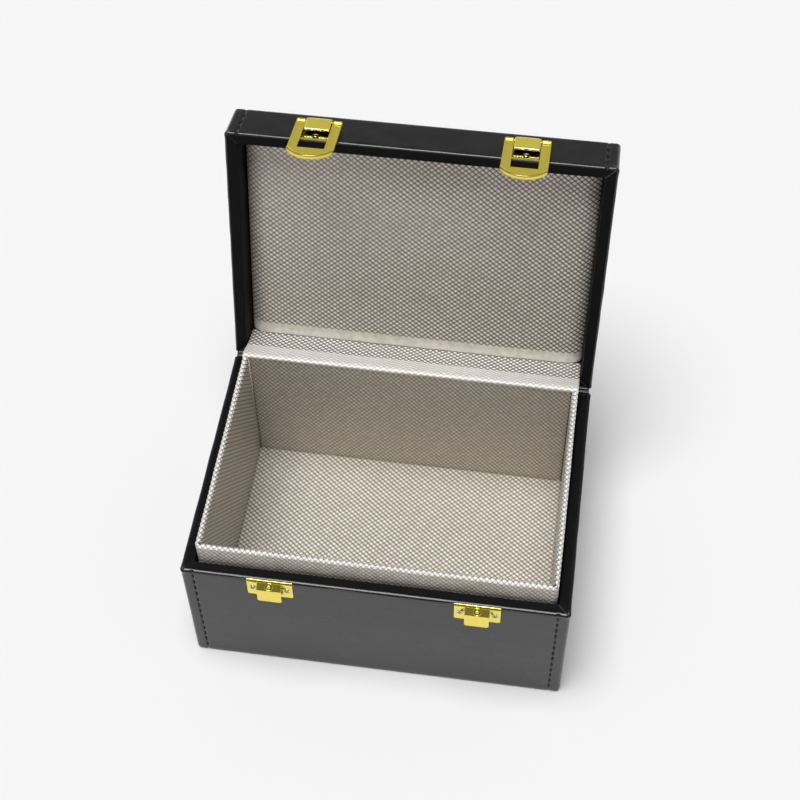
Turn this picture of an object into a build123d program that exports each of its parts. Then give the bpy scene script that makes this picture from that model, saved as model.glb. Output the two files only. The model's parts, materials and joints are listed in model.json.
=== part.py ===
from build123d import *
import math
import os

os.makedirs("parts", exist_ok=True)

# A small leather-covered box that shields car keys, phones and cards.  Its base
# and lid are boards wrapped in black imitation leather.  An inner tray wrapped
# in conductive fabric stands proud of the base's rim, a padded panel of the
# same fabric fills the lid, and two loop latches close it.
#
# Millimetres.  X runs to the right, Y to the back, Z up.  The origin is the
# centre of the base's footprint on the table.  The rest pose has the lid open.
# Everything on the lid is built closed and then turned open about the hinge.

# ---------------------------------------------------------------- outside
WIDTH = 165.0
DEPTH = 117.5
BASE_HEIGHT = 69.0
LID_HEIGHT = 21.6
RIM_GAP = 0.3  # between the two rims when the lid is closed
LID_OPEN_ANGLE = 103.6

# ---------------------------------------------------------------- case walls
BOARD = 4.0
LEATHER = 0.7
EDGE_ROUND = 1.7  # upright edges and the edges round the outer faces
RIM_ROUND = 1.3  # outer edge of both rims
HINGE_ROUND = 2.5  # rims' outer edge on the hinge side

# ---------------------------------------------------------------- inner tray
TRAY_BOARD = 1.7
FABRIC = 0.4
TRAY_CORNER = 2.4
TRAY_RIM_ROUND = 1.1
TRAY_SIDE_GAP = 0.5
TRAY_FRONT_GAP = 0.9
TRAY_BACK_GAP = 0.75
TRAY_HEADROOM = 1.8  # between the tray's rim and the closed lid's panel

# ---------------------------------------------------------------- lid panel
PANEL_BOARD = 2.0
PANEL_FOAM = 3.4
PANEL_ROUND = 2.6
PANEL_GAP = 0.3

# ---------------------------------------------------------------- hinge
HINGE_ROLL_RADIUS = 1.1
HINGE_SIDE_INSET = 1.0
HINGE_SEAT = 0.3  # soft strips lie this clear of what carries them
LINING_STRIP = 0.5

# ---------------------------------------------------------------- stitching
STITCH_INSET = 5.0
STITCH_PITCH = 5.0
STITCH_LENGTH = 3.5
THREAD_WIDTH = 0.55
THREAD_HEIGHT = 0.3
STITCH_END_MARGIN = 2.2

# ---------------------------------------------------------------- screws
SCREW_HEAD_RADIUS = 1.55
SCREW_HEAD_HEIGHT = 0.5
SCREW_HEAD_ROUND = 0.35
SCREW_SHANK_RADIUS = 0.8
SCREW_GRIP = 3.6  # how far a shank goes into the board
CROSS_LENGTH = 1.9
CROSS_WIDTH = 0.4
CROSS_DEPTH = 0.3
CATCH_RIVET_RADIUS = 1.5
LATCH_RIVET_RADIUS = 1.9
RIVET_HEIGHT = 0.7

# ---------------------------------------------------------------- catches
LATCH_SPACING = 88.0  # between the two latches' centres
CATCH_SHEET = 0.9
CATCH_WIDTH = 19.6
CATCH_HEIGHT = 10.8
TAB_WIDTH = 10.4
TAB_STANDOFF = 3.5  # outer face of the tab from the case's front
TAB_RIDGE_DROP = 2.9
TAB_DROP = 11.5
TAB_CORNER = 1.2
CATCH_CORNER = 0.8
CATCH_CHAMFER = 0.7  # along the plate's upper edge
CATCH_SCREW_SPACING = 14.8
CATCH_SCREW_DROP = 5.2
CATCH_RIVET_PLACE = 0.58  # share of the way down the tab's slope

# ---------------------------------------------------------------- latches
LATCH_SHEET = 0.8
LATCH_PLATE_WIDTH = 19.5
LATCH_PLATE_FOOT = 0.3  # plate's lower edge above the lid's rim
LATCH_PLATE_TOP = 10.8
LATCH_SCREW_SPACING = 14.8
LATCH_SCREW_RISE = 6.4
LATCH_RIVET_RISE = 2.7
PIVOT_RISE = 12.0
PIVOT_STANDOFF = 1.9
PIN_RADIUS = 0.6
PIN_CLEARANCE = 0.08
TONGUE_WIDTH = 10.6
FLAP_FOOT_RISE = 4.6
FLAP_LEAN = 0.55
FRAME_SHEET = 1.0
FRAME_WIDTH = 19.5
WINDOW_WIDTH = 11.5
FRAME_EYE_RADIUS = 1.1
FRAME_EYE_ROUND = 0.6
EYE_BORE_DEPTH = 2.0
BAR_SIDE_DEPTH = 2.1  # window's lower edge to the bar's own, at the sides
BAR_MIDDLE_DEPTH = 7.5
LIP_HEIGHT = 0.7
LIP_SHEET = 0.8
ARM_BORDER = 0.8
ARM_RECESS = 0.25
HOOK_DEPTH = 1.8  # how far the hooked bar reaches up behind the tab
HOOK_GAP = 0.1  # between the hooked bar and the tab in front of it

# ---------------------------------------------------------------- worked out
WALL = BOARD + 2 * LEATHER
INNER_X = WIDTH / 2 - WALL
INNER_Y = DEPTH / 2 - WALL
CASE_FLOOR = LEATHER + BOARD
LID_RIM = BASE_HEIGHT + RIM_GAP
LID_TOP = LID_RIM + LID_HEIGHT
LID_CEILING = LID_TOP - CASE_FLOOR
PANEL_FACE = LID_CEILING - PANEL_BOARD - PANEL_FOAM
TRAY_TOP = PANEL_FACE - TRAY_HEADROOM
TRAY_WALL = TRAY_BOARD + 2 * FABRIC
TRAY_X = INNER_X - TRAY_SIDE_GAP
TRAY_FRONT = -INNER_Y + TRAY_FRONT_GAP
TRAY_BACK = INNER_Y - TRAY_BACK_GAP

HINGE_Y = DEPTH / 2
HINGE_Z = BASE_HEIGHT + RIM_GAP / 2
LID_AXIS = Axis((0, HINGE_Y, HINGE_Z), (1, 0, 0))

PIVOT_Z = LID_RIM + PIVOT_RISE
FRAME_REACH = PIVOT_RISE + RIM_GAP + TAB_DROP - HOOK_DEPTH  # pivot to bar
HOOKED_STANDOFF = TAB_STANDOFF - CATCH_SHEET - HOOK_GAP - FRAME_SHEET / 2
HOOKED_TILT = math.degrees(math.atan2(HOOKED_STANDOFF - PIVOT_STANDOFF, FRAME_REACH))
ROLL_INNER = PIN_RADIUS + PIN_CLEARANCE
ROLL_OUTER = ROLL_INNER + LATCH_SHEET
LATCH_SIDES = {"left": -LATCH_SPACING / 2, "right": LATCH_SPACING / 2}

SPAN = 2 * (WIDTH + DEPTH + BASE_HEIGHT)  # longer than anything here


# ================================================================ helpers
def box_between(low, high):
    """A plain block between two opposite corners."""
    size = [b - a for a, b in zip(low, high)]
    middle = [(a + b) / 2 for a, b in zip(low, high)]
    return Pos(*middle) * Box(*size)


def rounded_face(low, high, radii):
    """A rectangle whose corners, anticlockwise from the low one, have radii."""
    size = (high[0] - low[0], high[1] - low[1])
    face = Pos((low[0] + high[0]) / 2, (low[1] + high[1]) / 2) * Rectangle(*size)
    corners = [low, (high[0], low[1]), high, (low[0], high[1])]
    for corner, radius in zip(corners, radii):
        if radius > 0:
            vertex = face.vertices().sort_by_distance((corner[0], corner[1], 0))[0]
            face = fillet(vertex, radius)
    return face


def rounded_block(low, high, upright, foot, rim, hinge):
    """A block with rounded edges: its uprights, its foot, its rim and the
    rim's hinge side, which is the back one."""
    plan = rounded_face(low[:2], high[:2], [upright] * 4)
    front = rounded_face((low[0], low[2]), (high[0], high[2]), (foot, foot, rim, rim))
    side = rounded_face((low[1], low[2]), (high[1], high[2]), (foot, foot, hinge, rim))
    looking_back = Plane(origin=(0, high[1], 0), x_dir=(1, 0, 0), z_dir=(0, -1, 0))
    looking_across = Plane(origin=(low[0], 0, 0), x_dir=(0, 1, 0), z_dir=(1, 0, 0))
    block = extrude(Pos(0, 0, low[2]) * plan, high[2] - low[2])
    block &= extrude(looking_back * front, high[1] - low[1])
    block &= extrude(looking_across * side, high[0] - low[0])
    return block


def shrunk(low, high, skin):
    """The two corners moved inward by one skin on every side."""
    return [a + skin for a in low], [b - skin for b in high]


def mitre_prisms(low, high):
    """Four prisms that split a ring of walls along its corner diagonals."""
    reach = min(high[0] - low[0], high[1] - low[1]) / 2
    outer = [(low[0], low[1]), (high[0], low[1]), (high[0], high[1]), (low[0], high[1])]
    inner = [
        (low[0] + reach, low[1] + reach),
        (high[0] - reach, low[1] + reach),
        (high[0] - reach, high[1] - reach),
        (low[0] + reach, high[1] - reach),
    ]
    prisms = {}
    for index, side in enumerate(("front", "right", "back", "left")):
        after = (index + 1) % 4
        corners = [outer[index], outer[after], inner[after], inner[index]]
        if math.dist(corners[2], corners[3]) < 1e-6:
            corners.pop()
        face = make_face(Polyline(*corners, close=True))
        prisms[side] = Pos(0, 0, -SPAN / 2) * extrude(face, SPAN)
    return prisms


def wrapped_box(low, high, board, skin, upright, foot, rim, hinge):
    """An open box of five boards wrapped in a skin, in its own five pieces.
    The skin turns over the rim and down the inside of each wall."""
    outer = rounded_block(low, high, upright, foot, rim, hinge)
    core_low, core_high = shrunk(low, high, skin)
    radii = [max(radius - skin, 0) for radius in (upright, foot, rim, hinge)]
    core = rounded_block(core_low, core_high, *radii)
    wall = board + 2 * skin
    floor = low[2] + skin + board
    cavity = box_between(
        (low[0] + wall, low[1] + wall, floor), (high[0] - wall, high[1] - wall, high[2])
    )
    hollow_low = (core_low[0] + board, core_low[1] + board, floor)
    hollow_high = (core_high[0] - board, core_high[1] - board, high[2])
    boards = core - box_between(hollow_low, hollow_high)
    cover = outer - core - cavity

    pieces = {}
    under = box_between((low[0], low[1], low[2]), (high[0], high[1], low[2] + skin))
    pieces["cover_bottom"] = cover & under
    cover -= under
    for side, prism in mitre_prisms(low, high).items():
        pieces["cover_" + side] = cover & prism

    bottom = box_between(
        (hollow_low[0], hollow_low[1], low[2]), (hollow_high[0], hollow_high[1], floor)
    )
    pieces["board_bottom"] = boards & bottom
    boards -= bottom
    front = box_between(low, (high[0], hollow_low[1], high[2]))
    back = box_between((low[0], hollow_high[1], low[2]), high)
    pieces["board_front"] = boards & front
    pieces["board_back"] = boards & back
    boards = boards - front - back
    middle = box_between(low, ((low[0] + high[0]) / 2, high[1], high[2]))
    pieces["board_left"] = boards & middle
    pieces["board_right"] = boards - middle
    return pieces


def facing_front(x, z):
    """Plane on the case's front: local x to the right, y up, normal outward."""
    return Plane(origin=(x, -DEPTH / 2, z), x_dir=(1, 0, 0), z_dir=(0, -1, 0))


def bent_strip(x, z, width, points):
    """A strip of the given width whose side view has the given corners, each
    as stand-off from the case's front and height above z."""
    plane = Plane(
        origin=(x + width / 2, -DEPTH / 2, z), x_dir=(0, -1, 0), z_dir=(-1, 0, 0)
    )
    return extrude(plane * make_face(Polyline(*points, close=True)), width)


def across(x, standoff, z, radius, length):
    """A cylinder along X at a stand-off from the case's front."""
    centre = Pos(x, -DEPTH / 2 - standoff, z)
    return centre * Rot(0, 90, 0) * Cylinder(radius, length)


def screw(x, z, seat):
    """A small cross-head screw whose head sits at the seat's stand-off."""
    plane = facing_front(x, z).offset(seat)
    head = extrude(plane * Circle(SCREW_HEAD_RADIUS), SCREW_HEAD_HEIGHT)
    crown = head.edges().sort_by(Axis.Y)[0]
    head = fillet(crown, min(SCREW_HEAD_ROUND, 0.9 * SCREW_HEAD_HEIGHT))
    top = plane.offset(SCREW_HEAD_HEIGHT)
    slots = Rectangle(CROSS_LENGTH, CROSS_WIDTH) + Rectangle(CROSS_WIDTH, CROSS_LENGTH)
    return head - extrude(top * slots, -CROSS_DEPTH) + screw_shank(x, z, seat)


def screw_shank(x, z, seat):
    """The screw's thread, through the sheet and the leather into the board."""
    plane = facing_front(x, z).offset(seat)
    length = seat + LEATHER + SCREW_GRIP
    return extrude(plane * Circle(SCREW_SHANK_RADIUS), -length)


def rivet(plane, radius):
    """A low domed rivet head standing on a plane."""
    ball_radius = (radius**2 + RIVET_HEIGHT**2) / (2 * RIVET_HEIGHT)
    ball = plane * Pos(0, 0, RIVET_HEIGHT - ball_radius) * Sphere(ball_radius)
    return ball & extrude(plane * Circle(radius), RIVET_HEIGHT)


def stitch_column(x, low, high):
    """Upright stitches lying on the case's front between two heights."""
    run = high - low - 2 * STITCH_END_MARGIN - STITCH_LENGTH
    count = max(int(run / STITCH_PITCH) + 1, 1)
    start = (low + high) / 2 - (count - 1) * STITCH_PITCH / 2
    thread = Box(THREAD_WIDTH, THREAD_HEIGHT, STITCH_LENGTH)
    y = -(DEPTH + THREAD_HEIGHT) / 2
    return [Pos(x, y, start + index * STITCH_PITCH) * thread for index in range(count)]


def opened(shape):
    """Turn something built on the closed lid to the lid's rest position."""
    return shape.rotate(LID_AXIS, -LID_OPEN_ANGLE)


def opened_point(y, z):
    """The same turn for a point of the closed lid's side view."""
    angle = math.radians(LID_OPEN_ANGLE)
    dy = y - HINGE_Y
    dz = z - HINGE_Z
    turned_y = HINGE_Y + dy * math.cos(angle) + dz * math.sin(angle)
    turned_z = HINGE_Z - dy * math.sin(angle) + dz * math.cos(angle)
    return turned_y, turned_z


# ================================================================ base
nodes = {}
case_low = (-WIDTH / 2, -DEPTH / 2, 0)
case_high = (WIDTH / 2, DEPTH / 2, BASE_HEIGHT)
case = wrapped_box(
    case_low, case_high, BOARD, LEATHER, EDGE_ROUND, EDGE_ROUND, RIM_ROUND, HINGE_ROUND
)
for name, piece in case.items():
    nodes["base_" + name] = piece

stitch_x = WIDTH / 2 - STITCH_INSET
base_stitches = []
for x in (-stitch_x, stitch_x):
    base_stitches += stitch_column(x, 0, BASE_HEIGHT)
nodes["base_stitching"] = Compound(children=base_stitches)

# ================================================================ inner tray
tray = wrapped_box(
    (-TRAY_X, TRAY_FRONT, CASE_FLOOR),
    (TRAY_X, TRAY_BACK, TRAY_TOP),
    TRAY_BOARD,
    FABRIC,
    TRAY_CORNER,
    0,
    TRAY_RIM_ROUND,
    TRAY_RIM_ROUND,
)
for name, piece in tray.items():
    nodes["tray_" + name.replace("cover", "lining")] = piece
tray_floor = CASE_FLOOR + FABRIC + TRAY_BOARD
nodes["tray_floor_lining"] = box_between(
    (-TRAY_X + TRAY_WALL, TRAY_FRONT + TRAY_WALL, tray_floor),
    (TRAY_X - TRAY_WALL, TRAY_BACK - TRAY_WALL, tray_floor + FABRIC),
)

# ================================================================ catches
catch_screws = []
catch_rivets = []
for side, x in LATCH_SIDES.items():
    plate_plane = facing_front(x, BASE_HEIGHT)
    ears = rounded_face(
        (-CATCH_WIDTH / 2, -CATCH_HEIGHT),
        (CATCH_WIDTH / 2, 0),
        (CATCH_CORNER, CATCH_CORNER, 0, 0),
    )
    plate = extrude(plate_plane * ears, CATCH_SHEET)
    upper_edges = plate.edges().filter_by(Axis.X).group_by(Axis.Z)[-1]
    plate = chamfer(upper_edges.sort_by(Axis.Y)[0], min(CATCH_CHAMFER, 0.9 * CATCH_SHEET))
    slope = math.atan2(TAB_RIDGE_DROP, TAB_STANDOFF)
    slope_drop = CATCH_SHEET / math.cos(slope)
    inner_ridge = -TAB_RIDGE_DROP - slope_drop + CATCH_SHEET * math.tan(slope)
    tab_points = [
        (0, 0),
        (TAB_STANDOFF, -TAB_RIDGE_DROP),
        (TAB_STANDOFF, -TAB_DROP),
        (TAB_STANDOFF - CATCH_SHEET, -TAB_DROP),
        (TAB_STANDOFF - CATCH_SHEET, inner_ridge),
        (0, -slope_drop),
    ]
    tab = bent_strip(x, BASE_HEIGHT, TAB_WIDTH, tab_points)
    tab_feet = tab.edges().filter_by(Axis.Y).group_by(Axis.Z)[0]
    tab = fillet(tab_feet, TAB_CORNER)
    nodes[side + "_catch_plate"] = plate + tab

    rivet_y = -DEPTH / 2 - CATCH_RIVET_PLACE * TAB_STANDOFF
    rivet_z = BASE_HEIGHT - CATCH_RIVET_PLACE * TAB_RIDGE_DROP
    slope_middle = Plane(
        origin=(x, rivet_y, rivet_z),
        x_dir=(1, 0, 0),
        z_dir=(0, -math.sin(slope), math.cos(slope)),
    )
    catch_rivets.append(rivet(slope_middle, CATCH_RIVET_RADIUS))
    screw_z = BASE_HEIGHT - CATCH_SCREW_DROP
    for offset in (-CATCH_SCREW_SPACING / 2, CATCH_SCREW_SPACING / 2):
        catch_screws.append(screw(x + offset, screw_z, CATCH_SHEET))
        shank = screw_shank(x + offset, screw_z, CATCH_SHEET)
        for holed in (side + "_catch_plate", "base_cover_front", "base_board_front"):
            nodes[holed] -= shank
nodes["catch_screws"] = Compound(children=catch_screws)
nodes["catch_rivets"] = Compound(children=catch_rivets)

# ================================================================ lid, closed
lid_nodes = {}
lid = wrapped_box(
    (-WIDTH / 2, -DEPTH / 2, 0),
    (WIDTH / 2, DEPTH / 2, LID_HEIGHT),
    BOARD,
    LEATHER,
    EDGE_ROUND,
    EDGE_ROUND,
    RIM_ROUND,
    HINGE_ROUND,
)
for name, piece in lid.items():
    turned = Pos(0, 0, LID_TOP) * mirror(piece, about=Plane.XY)
    lid_nodes["lid_" + name.replace("bottom", "top")] = turned

lid_stitches = []
for x in (-stitch_x, stitch_x):
    lid_stitches += stitch_column(x, LID_RIM, LID_TOP)
lid_nodes["lid_stitching"] = Compound(children=lid_stitches)

panel_x = INNER_X - PANEL_GAP
panel_y = INNER_Y - PANEL_GAP
lid_nodes["panel_board"] = box_between(
    (-panel_x, -panel_y, LID_CEILING - PANEL_BOARD), (panel_x, panel_y, LID_CEILING)
)
cushion_round = min(PANEL_ROUND, 0.9 * PANEL_FOAM)
lid_nodes["panel_cushion"] = rounded_block(
    (-panel_x, -panel_y, PANEL_FACE),
    (panel_x, panel_y, LID_CEILING - PANEL_BOARD),
    0,
    cushion_round,
    0,
    0,
)
lid_nodes["lid_back_lining"] = box_between(
    (-panel_x, INNER_Y - FABRIC, LID_RIM + LEATHER), (panel_x, INNER_Y, PANEL_FACE)
)

# ================================================================ latches, closed
latch_screws = []
latch_rivets = []
frame_nodes = {}
for side, x in LATCH_SIDES.items():
    plate_plane = facing_front(x, LID_RIM)
    plate_face = rounded_face(
        (-LATCH_PLATE_WIDTH / 2, LATCH_PLATE_FOOT),
        (LATCH_PLATE_WIDTH / 2, LATCH_PLATE_TOP),
        [CATCH_CORNER] * 4,
    )
    plate = extrude(plate_plane * plate_face, LATCH_SHEET)
    roll_near = PIVOT_STANDOFF - ROLL_OUTER
    leg = bent_strip(
        x,
        LID_RIM,
        TONGUE_WIDTH,
        [
            (0, LATCH_PLATE_TOP - LATCH_SHEET),
            (LATCH_SHEET, LATCH_PLATE_TOP - LATCH_SHEET),
            (roll_near + LATCH_SHEET, PIVOT_RISE),
            (roll_near, PIVOT_RISE),
        ],
    )
    roll_far = PIVOT_STANDOFF + ROLL_OUTER
    flap = bent_strip(
        x,
        LID_RIM,
        TONGUE_WIDTH,
        [
            (roll_far, PIVOT_RISE),
            (roll_far - LATCH_SHEET, PIVOT_RISE),
            (roll_far - LATCH_SHEET - FLAP_LEAN, FLAP_FOOT_RISE),
            (roll_far - FLAP_LEAN, FLAP_FOOT_RISE),
        ],
    )
    barrel = across(x, PIVOT_STANDOFF, PIVOT_Z, ROLL_OUTER, TONGUE_WIDTH)
    barrel -= across(x, PIVOT_STANDOFF, PIVOT_Z, ROLL_INNER, TONGUE_WIDTH)
    barrel &= box_between((-SPAN, -SPAN, PIVOT_Z), (SPAN, SPAN, PIVOT_Z + ROLL_OUTER))
    lid_nodes[side + "_latch_plate"] = plate + leg + barrel + flap

    screw_z = LID_RIM + LATCH_SCREW_RISE
    for offset in (-LATCH_SCREW_SPACING / 2, LATCH_SCREW_SPACING / 2):
        latch_screws.append(screw(x + offset, screw_z, LATCH_SHEET))
        shank = screw_shank(x + offset, screw_z, LATCH_SHEET)
        for holed in (side + "_latch_plate", "lid_cover_front", "lid_board_front"):
            lid_nodes[holed] -= shank
    rivet_plane = facing_front(x, LID_RIM + LATCH_RIVET_RISE).offset(LATCH_SHEET)
    latch_rivets.append(rivet(rivet_plane, LATCH_RIVET_RADIUS))

    # The loop hangs from the pivot.  It is drawn parallel to the front, and then
    # turned a little so that its bar lies behind the tab.
    half = FRAME_WIDTH / 2
    corner_drop = -FRAME_REACH - BAR_SIDE_DEPTH
    middle_drop = -FRAME_REACH - BAR_MIDDLE_DEPTH
    lower_edge = ThreePointArc((-half, corner_drop), (0, middle_drop), (half, corner_drop))
    sides = Polyline((half, corner_drop), (half, 0), (-half, 0), (-half, corner_drop))
    outline = make_face(lower_edge + sides)
    lip_corner = corner_drop + LIP_SHEET
    inner_edge = ThreePointArc(
        (-half, lip_corner), (0, middle_drop + LIP_SHEET), (half, lip_corner)
    )
    above_lip = Polyline(
        (half, lip_corner), (half, FRAME_SHEET), (-half, FRAME_SHEET), (-half, lip_corner)
    )
    window_half = WINDOW_WIDTH / 2
    window = Pos(0, -FRAME_REACH / 2) * Rectangle(WINDOW_WIDTH, FRAME_REACH)
    pivot_plane = facing_front(x, PIVOT_Z).offset(PIVOT_STANDOFF - FRAME_SHEET / 2)
    loop = extrude(pivot_plane * (outline - window), FRAME_SHEET)
    lip_face = outline - make_face(inner_edge + above_lip)
    loop += extrude(pivot_plane * lip_face, FRAME_SHEET + LIP_HEIGHT)
    arm_width = half - window_half
    arm_x = (half + window_half) / 2
    for direction in (-1, 1):
        eye = across(
            x + direction * arm_x, PIVOT_STANDOFF, PIVOT_Z, FRAME_EYE_RADIUS, arm_width
        )
        eye_ends = eye.edges().filter_by(GeomType.CIRCLE)
        loop += fillet(eye_ends, min(FRAME_EYE_ROUND, 0.9 * FRAME_EYE_RADIUS))
    recess_low = -FRAME_REACH + ARM_BORDER
    recess_high = -FRAME_EYE_RADIUS - ARM_BORDER
    recess = Pos(0, (recess_low + recess_high) / 2) * Rectangle(
        arm_width - 2 * ARM_BORDER, recess_high - recess_low
    )
    for direction in (-1, 1):
        pocket = pivot_plane.offset(FRAME_SHEET) * Pos(direction * arm_x, 0) * recess
        loop -= extrude(pocket, -ARM_RECESS)
    pin_length = WINDOW_WIDTH + 2 * EYE_BORE_DEPTH
    pin = across(x, PIVOT_STANDOFF, PIVOT_Z, PIN_RADIUS, pin_length)
    pivot_axis = Axis((x, -DEPTH / 2 - PIVOT_STANDOFF, PIVOT_Z), (1, 0, 0))
    frame_nodes[side + "_latch_loop"] = (loop - pin).rotate(pivot_axis, -HOOKED_TILT)
    frame_nodes[side + "_latch_pin"] = pin
lid_nodes["latch_screws"] = Compound(children=latch_screws)
lid_nodes["latch_rivets"] = Compound(children=latch_rivets)

for name, piece in {**lid_nodes, **frame_nodes}.items():
    nodes[name] = opened(piece)

# ================================================================ hinge, at rest
# A roll of the back's leather lies in the groove between the two rims, on the
# side away from the fold.  A strip of lining bridges from the tray's back rim
# to the lid's back lining, and comes taut when the lid is open.
fold_angle = math.radians(LID_OPEN_ANGLE / 2)
groove_y = -math.sin(math.radians(90) - fold_angle)
groove_z = math.cos(math.radians(90) - fold_angle)
roll_reach = HINGE_ROUND * (math.sqrt(2) - 1)
roll_y = HINGE_Y + roll_reach * groove_y
roll_z = HINGE_Z + roll_reach * groove_z
nodes["hinge_leather"] = (
    Pos(0, roll_y, roll_z) * Rot(0, 90, 0) * Cylinder(HINGE_ROLL_RADIUS, WIDTH - 2 * HINGE_SIDE_INSET)
)

strip_start = (TRAY_BACK + HINGE_SEAT, TRAY_TOP - TRAY_RIM_ROUND)
lid_edge = opened_point(INNER_Y - FABRIC, LID_RIM + LEATHER)
strip_end = (lid_edge[0] - HINGE_SEAT, lid_edge[1] + HINGE_SEAT)
strip_length = math.dist(strip_start, strip_end)
strip_turn = math.atan2(strip_end[1] - strip_start[1], strip_end[0] - strip_start[0])
strip_middle = [(a + b) / 2 for a, b in zip(strip_start, strip_end)]
strip = Box(2 * panel_x, strip_length, LINING_STRIP)
nodes["hinge_lining"] = Pos(0, *strip_middle) * Rot(math.degrees(strip_turn), 0, 0) * strip

# ================================================================ write
for name, piece in nodes.items():
    solids = piece.solids()
    shape = solids[0] if len(solids) == 1 else Compound(children=solids)
    export_step(shape, "parts/" + name + ".step")
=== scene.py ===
import json
import math

import bpy
import numpy as np
from mathutils import Matrix, Vector


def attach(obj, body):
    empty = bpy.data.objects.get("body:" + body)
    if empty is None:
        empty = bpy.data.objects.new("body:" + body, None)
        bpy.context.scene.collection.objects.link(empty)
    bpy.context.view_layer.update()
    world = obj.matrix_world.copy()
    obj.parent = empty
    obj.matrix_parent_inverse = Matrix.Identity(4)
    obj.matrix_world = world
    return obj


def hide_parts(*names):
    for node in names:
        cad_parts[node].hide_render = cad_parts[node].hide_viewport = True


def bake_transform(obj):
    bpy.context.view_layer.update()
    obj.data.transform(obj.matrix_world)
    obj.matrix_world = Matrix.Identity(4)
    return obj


# The looks of a leather-covered box with a fabric tray and two latches.
# Shapes are worked out in millimetres in the frame's own axes.  Pieces of the
# lid are shaped on the closed lid, as their nodes are, and then turned open.

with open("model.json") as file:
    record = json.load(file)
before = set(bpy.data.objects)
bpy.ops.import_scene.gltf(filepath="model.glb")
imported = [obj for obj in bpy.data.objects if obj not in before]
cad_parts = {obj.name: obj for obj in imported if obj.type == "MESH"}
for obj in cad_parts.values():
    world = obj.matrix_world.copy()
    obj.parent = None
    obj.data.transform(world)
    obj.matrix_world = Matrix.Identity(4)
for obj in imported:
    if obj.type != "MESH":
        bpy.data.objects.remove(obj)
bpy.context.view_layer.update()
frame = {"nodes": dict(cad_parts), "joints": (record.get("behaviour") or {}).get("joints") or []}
MM = 0.001


# ================================================================ sizes from the frame
def rotated(points, angle, y, z):
    """Points turned by an angle about a line along X through (y, z)."""
    turned = np.array(points, float)
    dy = turned[..., 1] - y
    dz = turned[..., 2] - z
    turned[..., 1] = y + dy * math.cos(angle) - dz * math.sin(angle)
    turned[..., 2] = z + dy * math.sin(angle) + dz * math.cos(angle)
    return turned


def node_points(*nodes):
    """Every vertex of some CAD nodes, in millimetres."""
    found = []
    for node in nodes:
        mesh = frame["nodes"][node].data
        flat = np.empty(len(mesh.vertices) * 3, np.float32)
        mesh.vertices.foreach_get("co", flat)
        found.append(flat.reshape(-1, 3) / MM)
    return np.concatenate(found).astype(float)


JOINTS = {joint["name"]: joint for joint in frame["joints"]}
HINGE_Y, HINGE_Z = (value / MM for value in JOINTS["lid_hinge"]["pos_m"][1:])
OPEN_ANGLE = math.radians(JOINTS["lid_hinge"]["range_deg"][1])


def opened(points):
    """Points of the closed lid, where they are at rest."""
    return rotated(points, -OPEN_ANGLE, HINGE_Y, HINGE_Z)


def closed(points):
    """Points at rest, where they are on the closed lid."""
    return rotated(points, OPEN_ANGLE, HINGE_Y, HINGE_Z)


def span(points):
    return points.min(axis=0), points.max(axis=0)


SIDES = ("front", "right", "back", "left")
BASE_COVERS = ["base_cover_" + side for side in ("bottom",) + SIDES]
LID_COVERS = ["lid_cover_" + side for side in ("top",) + SIDES]
TRAY_LININGS = ["tray_lining_" + side for side in ("bottom",) + SIDES]
BASE_LOW, BASE_HIGH = span(node_points(*BASE_COVERS))
LID_LOW, LID_HIGH = span(closed(node_points(*LID_COVERS)))
TRAY_LOW, TRAY_HIGH = span(node_points(*TRAY_LININGS))
FLOOR_LOW, FLOOR_HIGH = span(node_points("tray_floor_lining"))
PANEL_LOW, PANEL_HIGH = span(closed(node_points("panel_cushion")))
LINING_LOW = span(closed(node_points("lid_back_lining")))[0]
FRONT_LOW, FRONT_HIGH = span(node_points("base_cover_front"))
CASE_WALL = FRONT_HIGH[1] - FRONT_LOW[1]
LEATHER = span(node_points("base_board_front"))[0][1] - FRONT_LOW[1]
CASE_FLOOR = span(node_points("base_board_bottom"))[1][2]
TRAY_FRONT_LOW, TRAY_FRONT_HIGH = span(node_points("tray_lining_front"))
TRAY_WALL = TRAY_FRONT_HIGH[1] - TRAY_FRONT_LOW[1]
FABRIC = span(node_points("tray_board_front"))[0][1] - TRAY_FRONT_LOW[1]

# ================================================================ looks, in millimetres
EDGE_ROUND = 1.7
RIM_ROUND = 1.3
HINGE_ROUND = 2.5
INNER_ROUND = 0.55
TRAY_CORNER = 2.4
TRAY_ROUND = 1.1
CELL_LONG = 2.9  # the fabric's diamonds, across their longer diagonal
CELL_SHORT = 2.4
CELL_HEIGHT = 0.25
CELL_STEPS = 4  # grid steps in one diamond
PANEL_STEPS = 6
RIPPLE_WAVES = 7


# ================================================================ mesh helpers
def ripple(points, wavelength, height, seed):
    """A gentle seeded unevenness, the sum of a few plane waves."""
    random = np.random.default_rng(seed)
    total = np.zeros(points.shape[:-1])
    for _ in range(RIPPLE_WAVES):
        direction = random.normal(size=3)
        direction /= np.linalg.norm(direction)
        length = wavelength * random.uniform(0.7, 1.6)
        phase = random.uniform(0, 2 * math.pi)
        total += np.sin(points @ direction * 2 * math.pi / length + phase)
    return height * total / math.sqrt(RIPPLE_WAVES)


def ripples(points, waves, seed):
    """Several ripples together, from (wavelength, height) pairs."""
    return sum(ripple(points, *wave, seed + index) for index, wave in enumerate(waves))


def smooth_step(low, high, value):
    share = np.clip((value - low) / (high - low), 0, 1)
    return share * share * (3 - 2 * share)


def hump(distance, width):
    return np.exp(-((distance / width) ** 2))


def graded(low, high, coarse, fine, places, reach):
    """Stations from low to high: fine near the given places, coarse elsewhere."""
    samples = np.linspace(low, high, 4001)
    near = np.min(np.abs(samples[:, None] - np.array(places)), axis=1)
    spacing = np.where(near < reach, fine, coarse)
    count = np.concatenate([[0], np.cumsum(np.diff(samples) / spacing[1:])])
    return np.interp(np.linspace(0, count[-1], math.ceil(count[-1]) + 1), count, samples)


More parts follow.
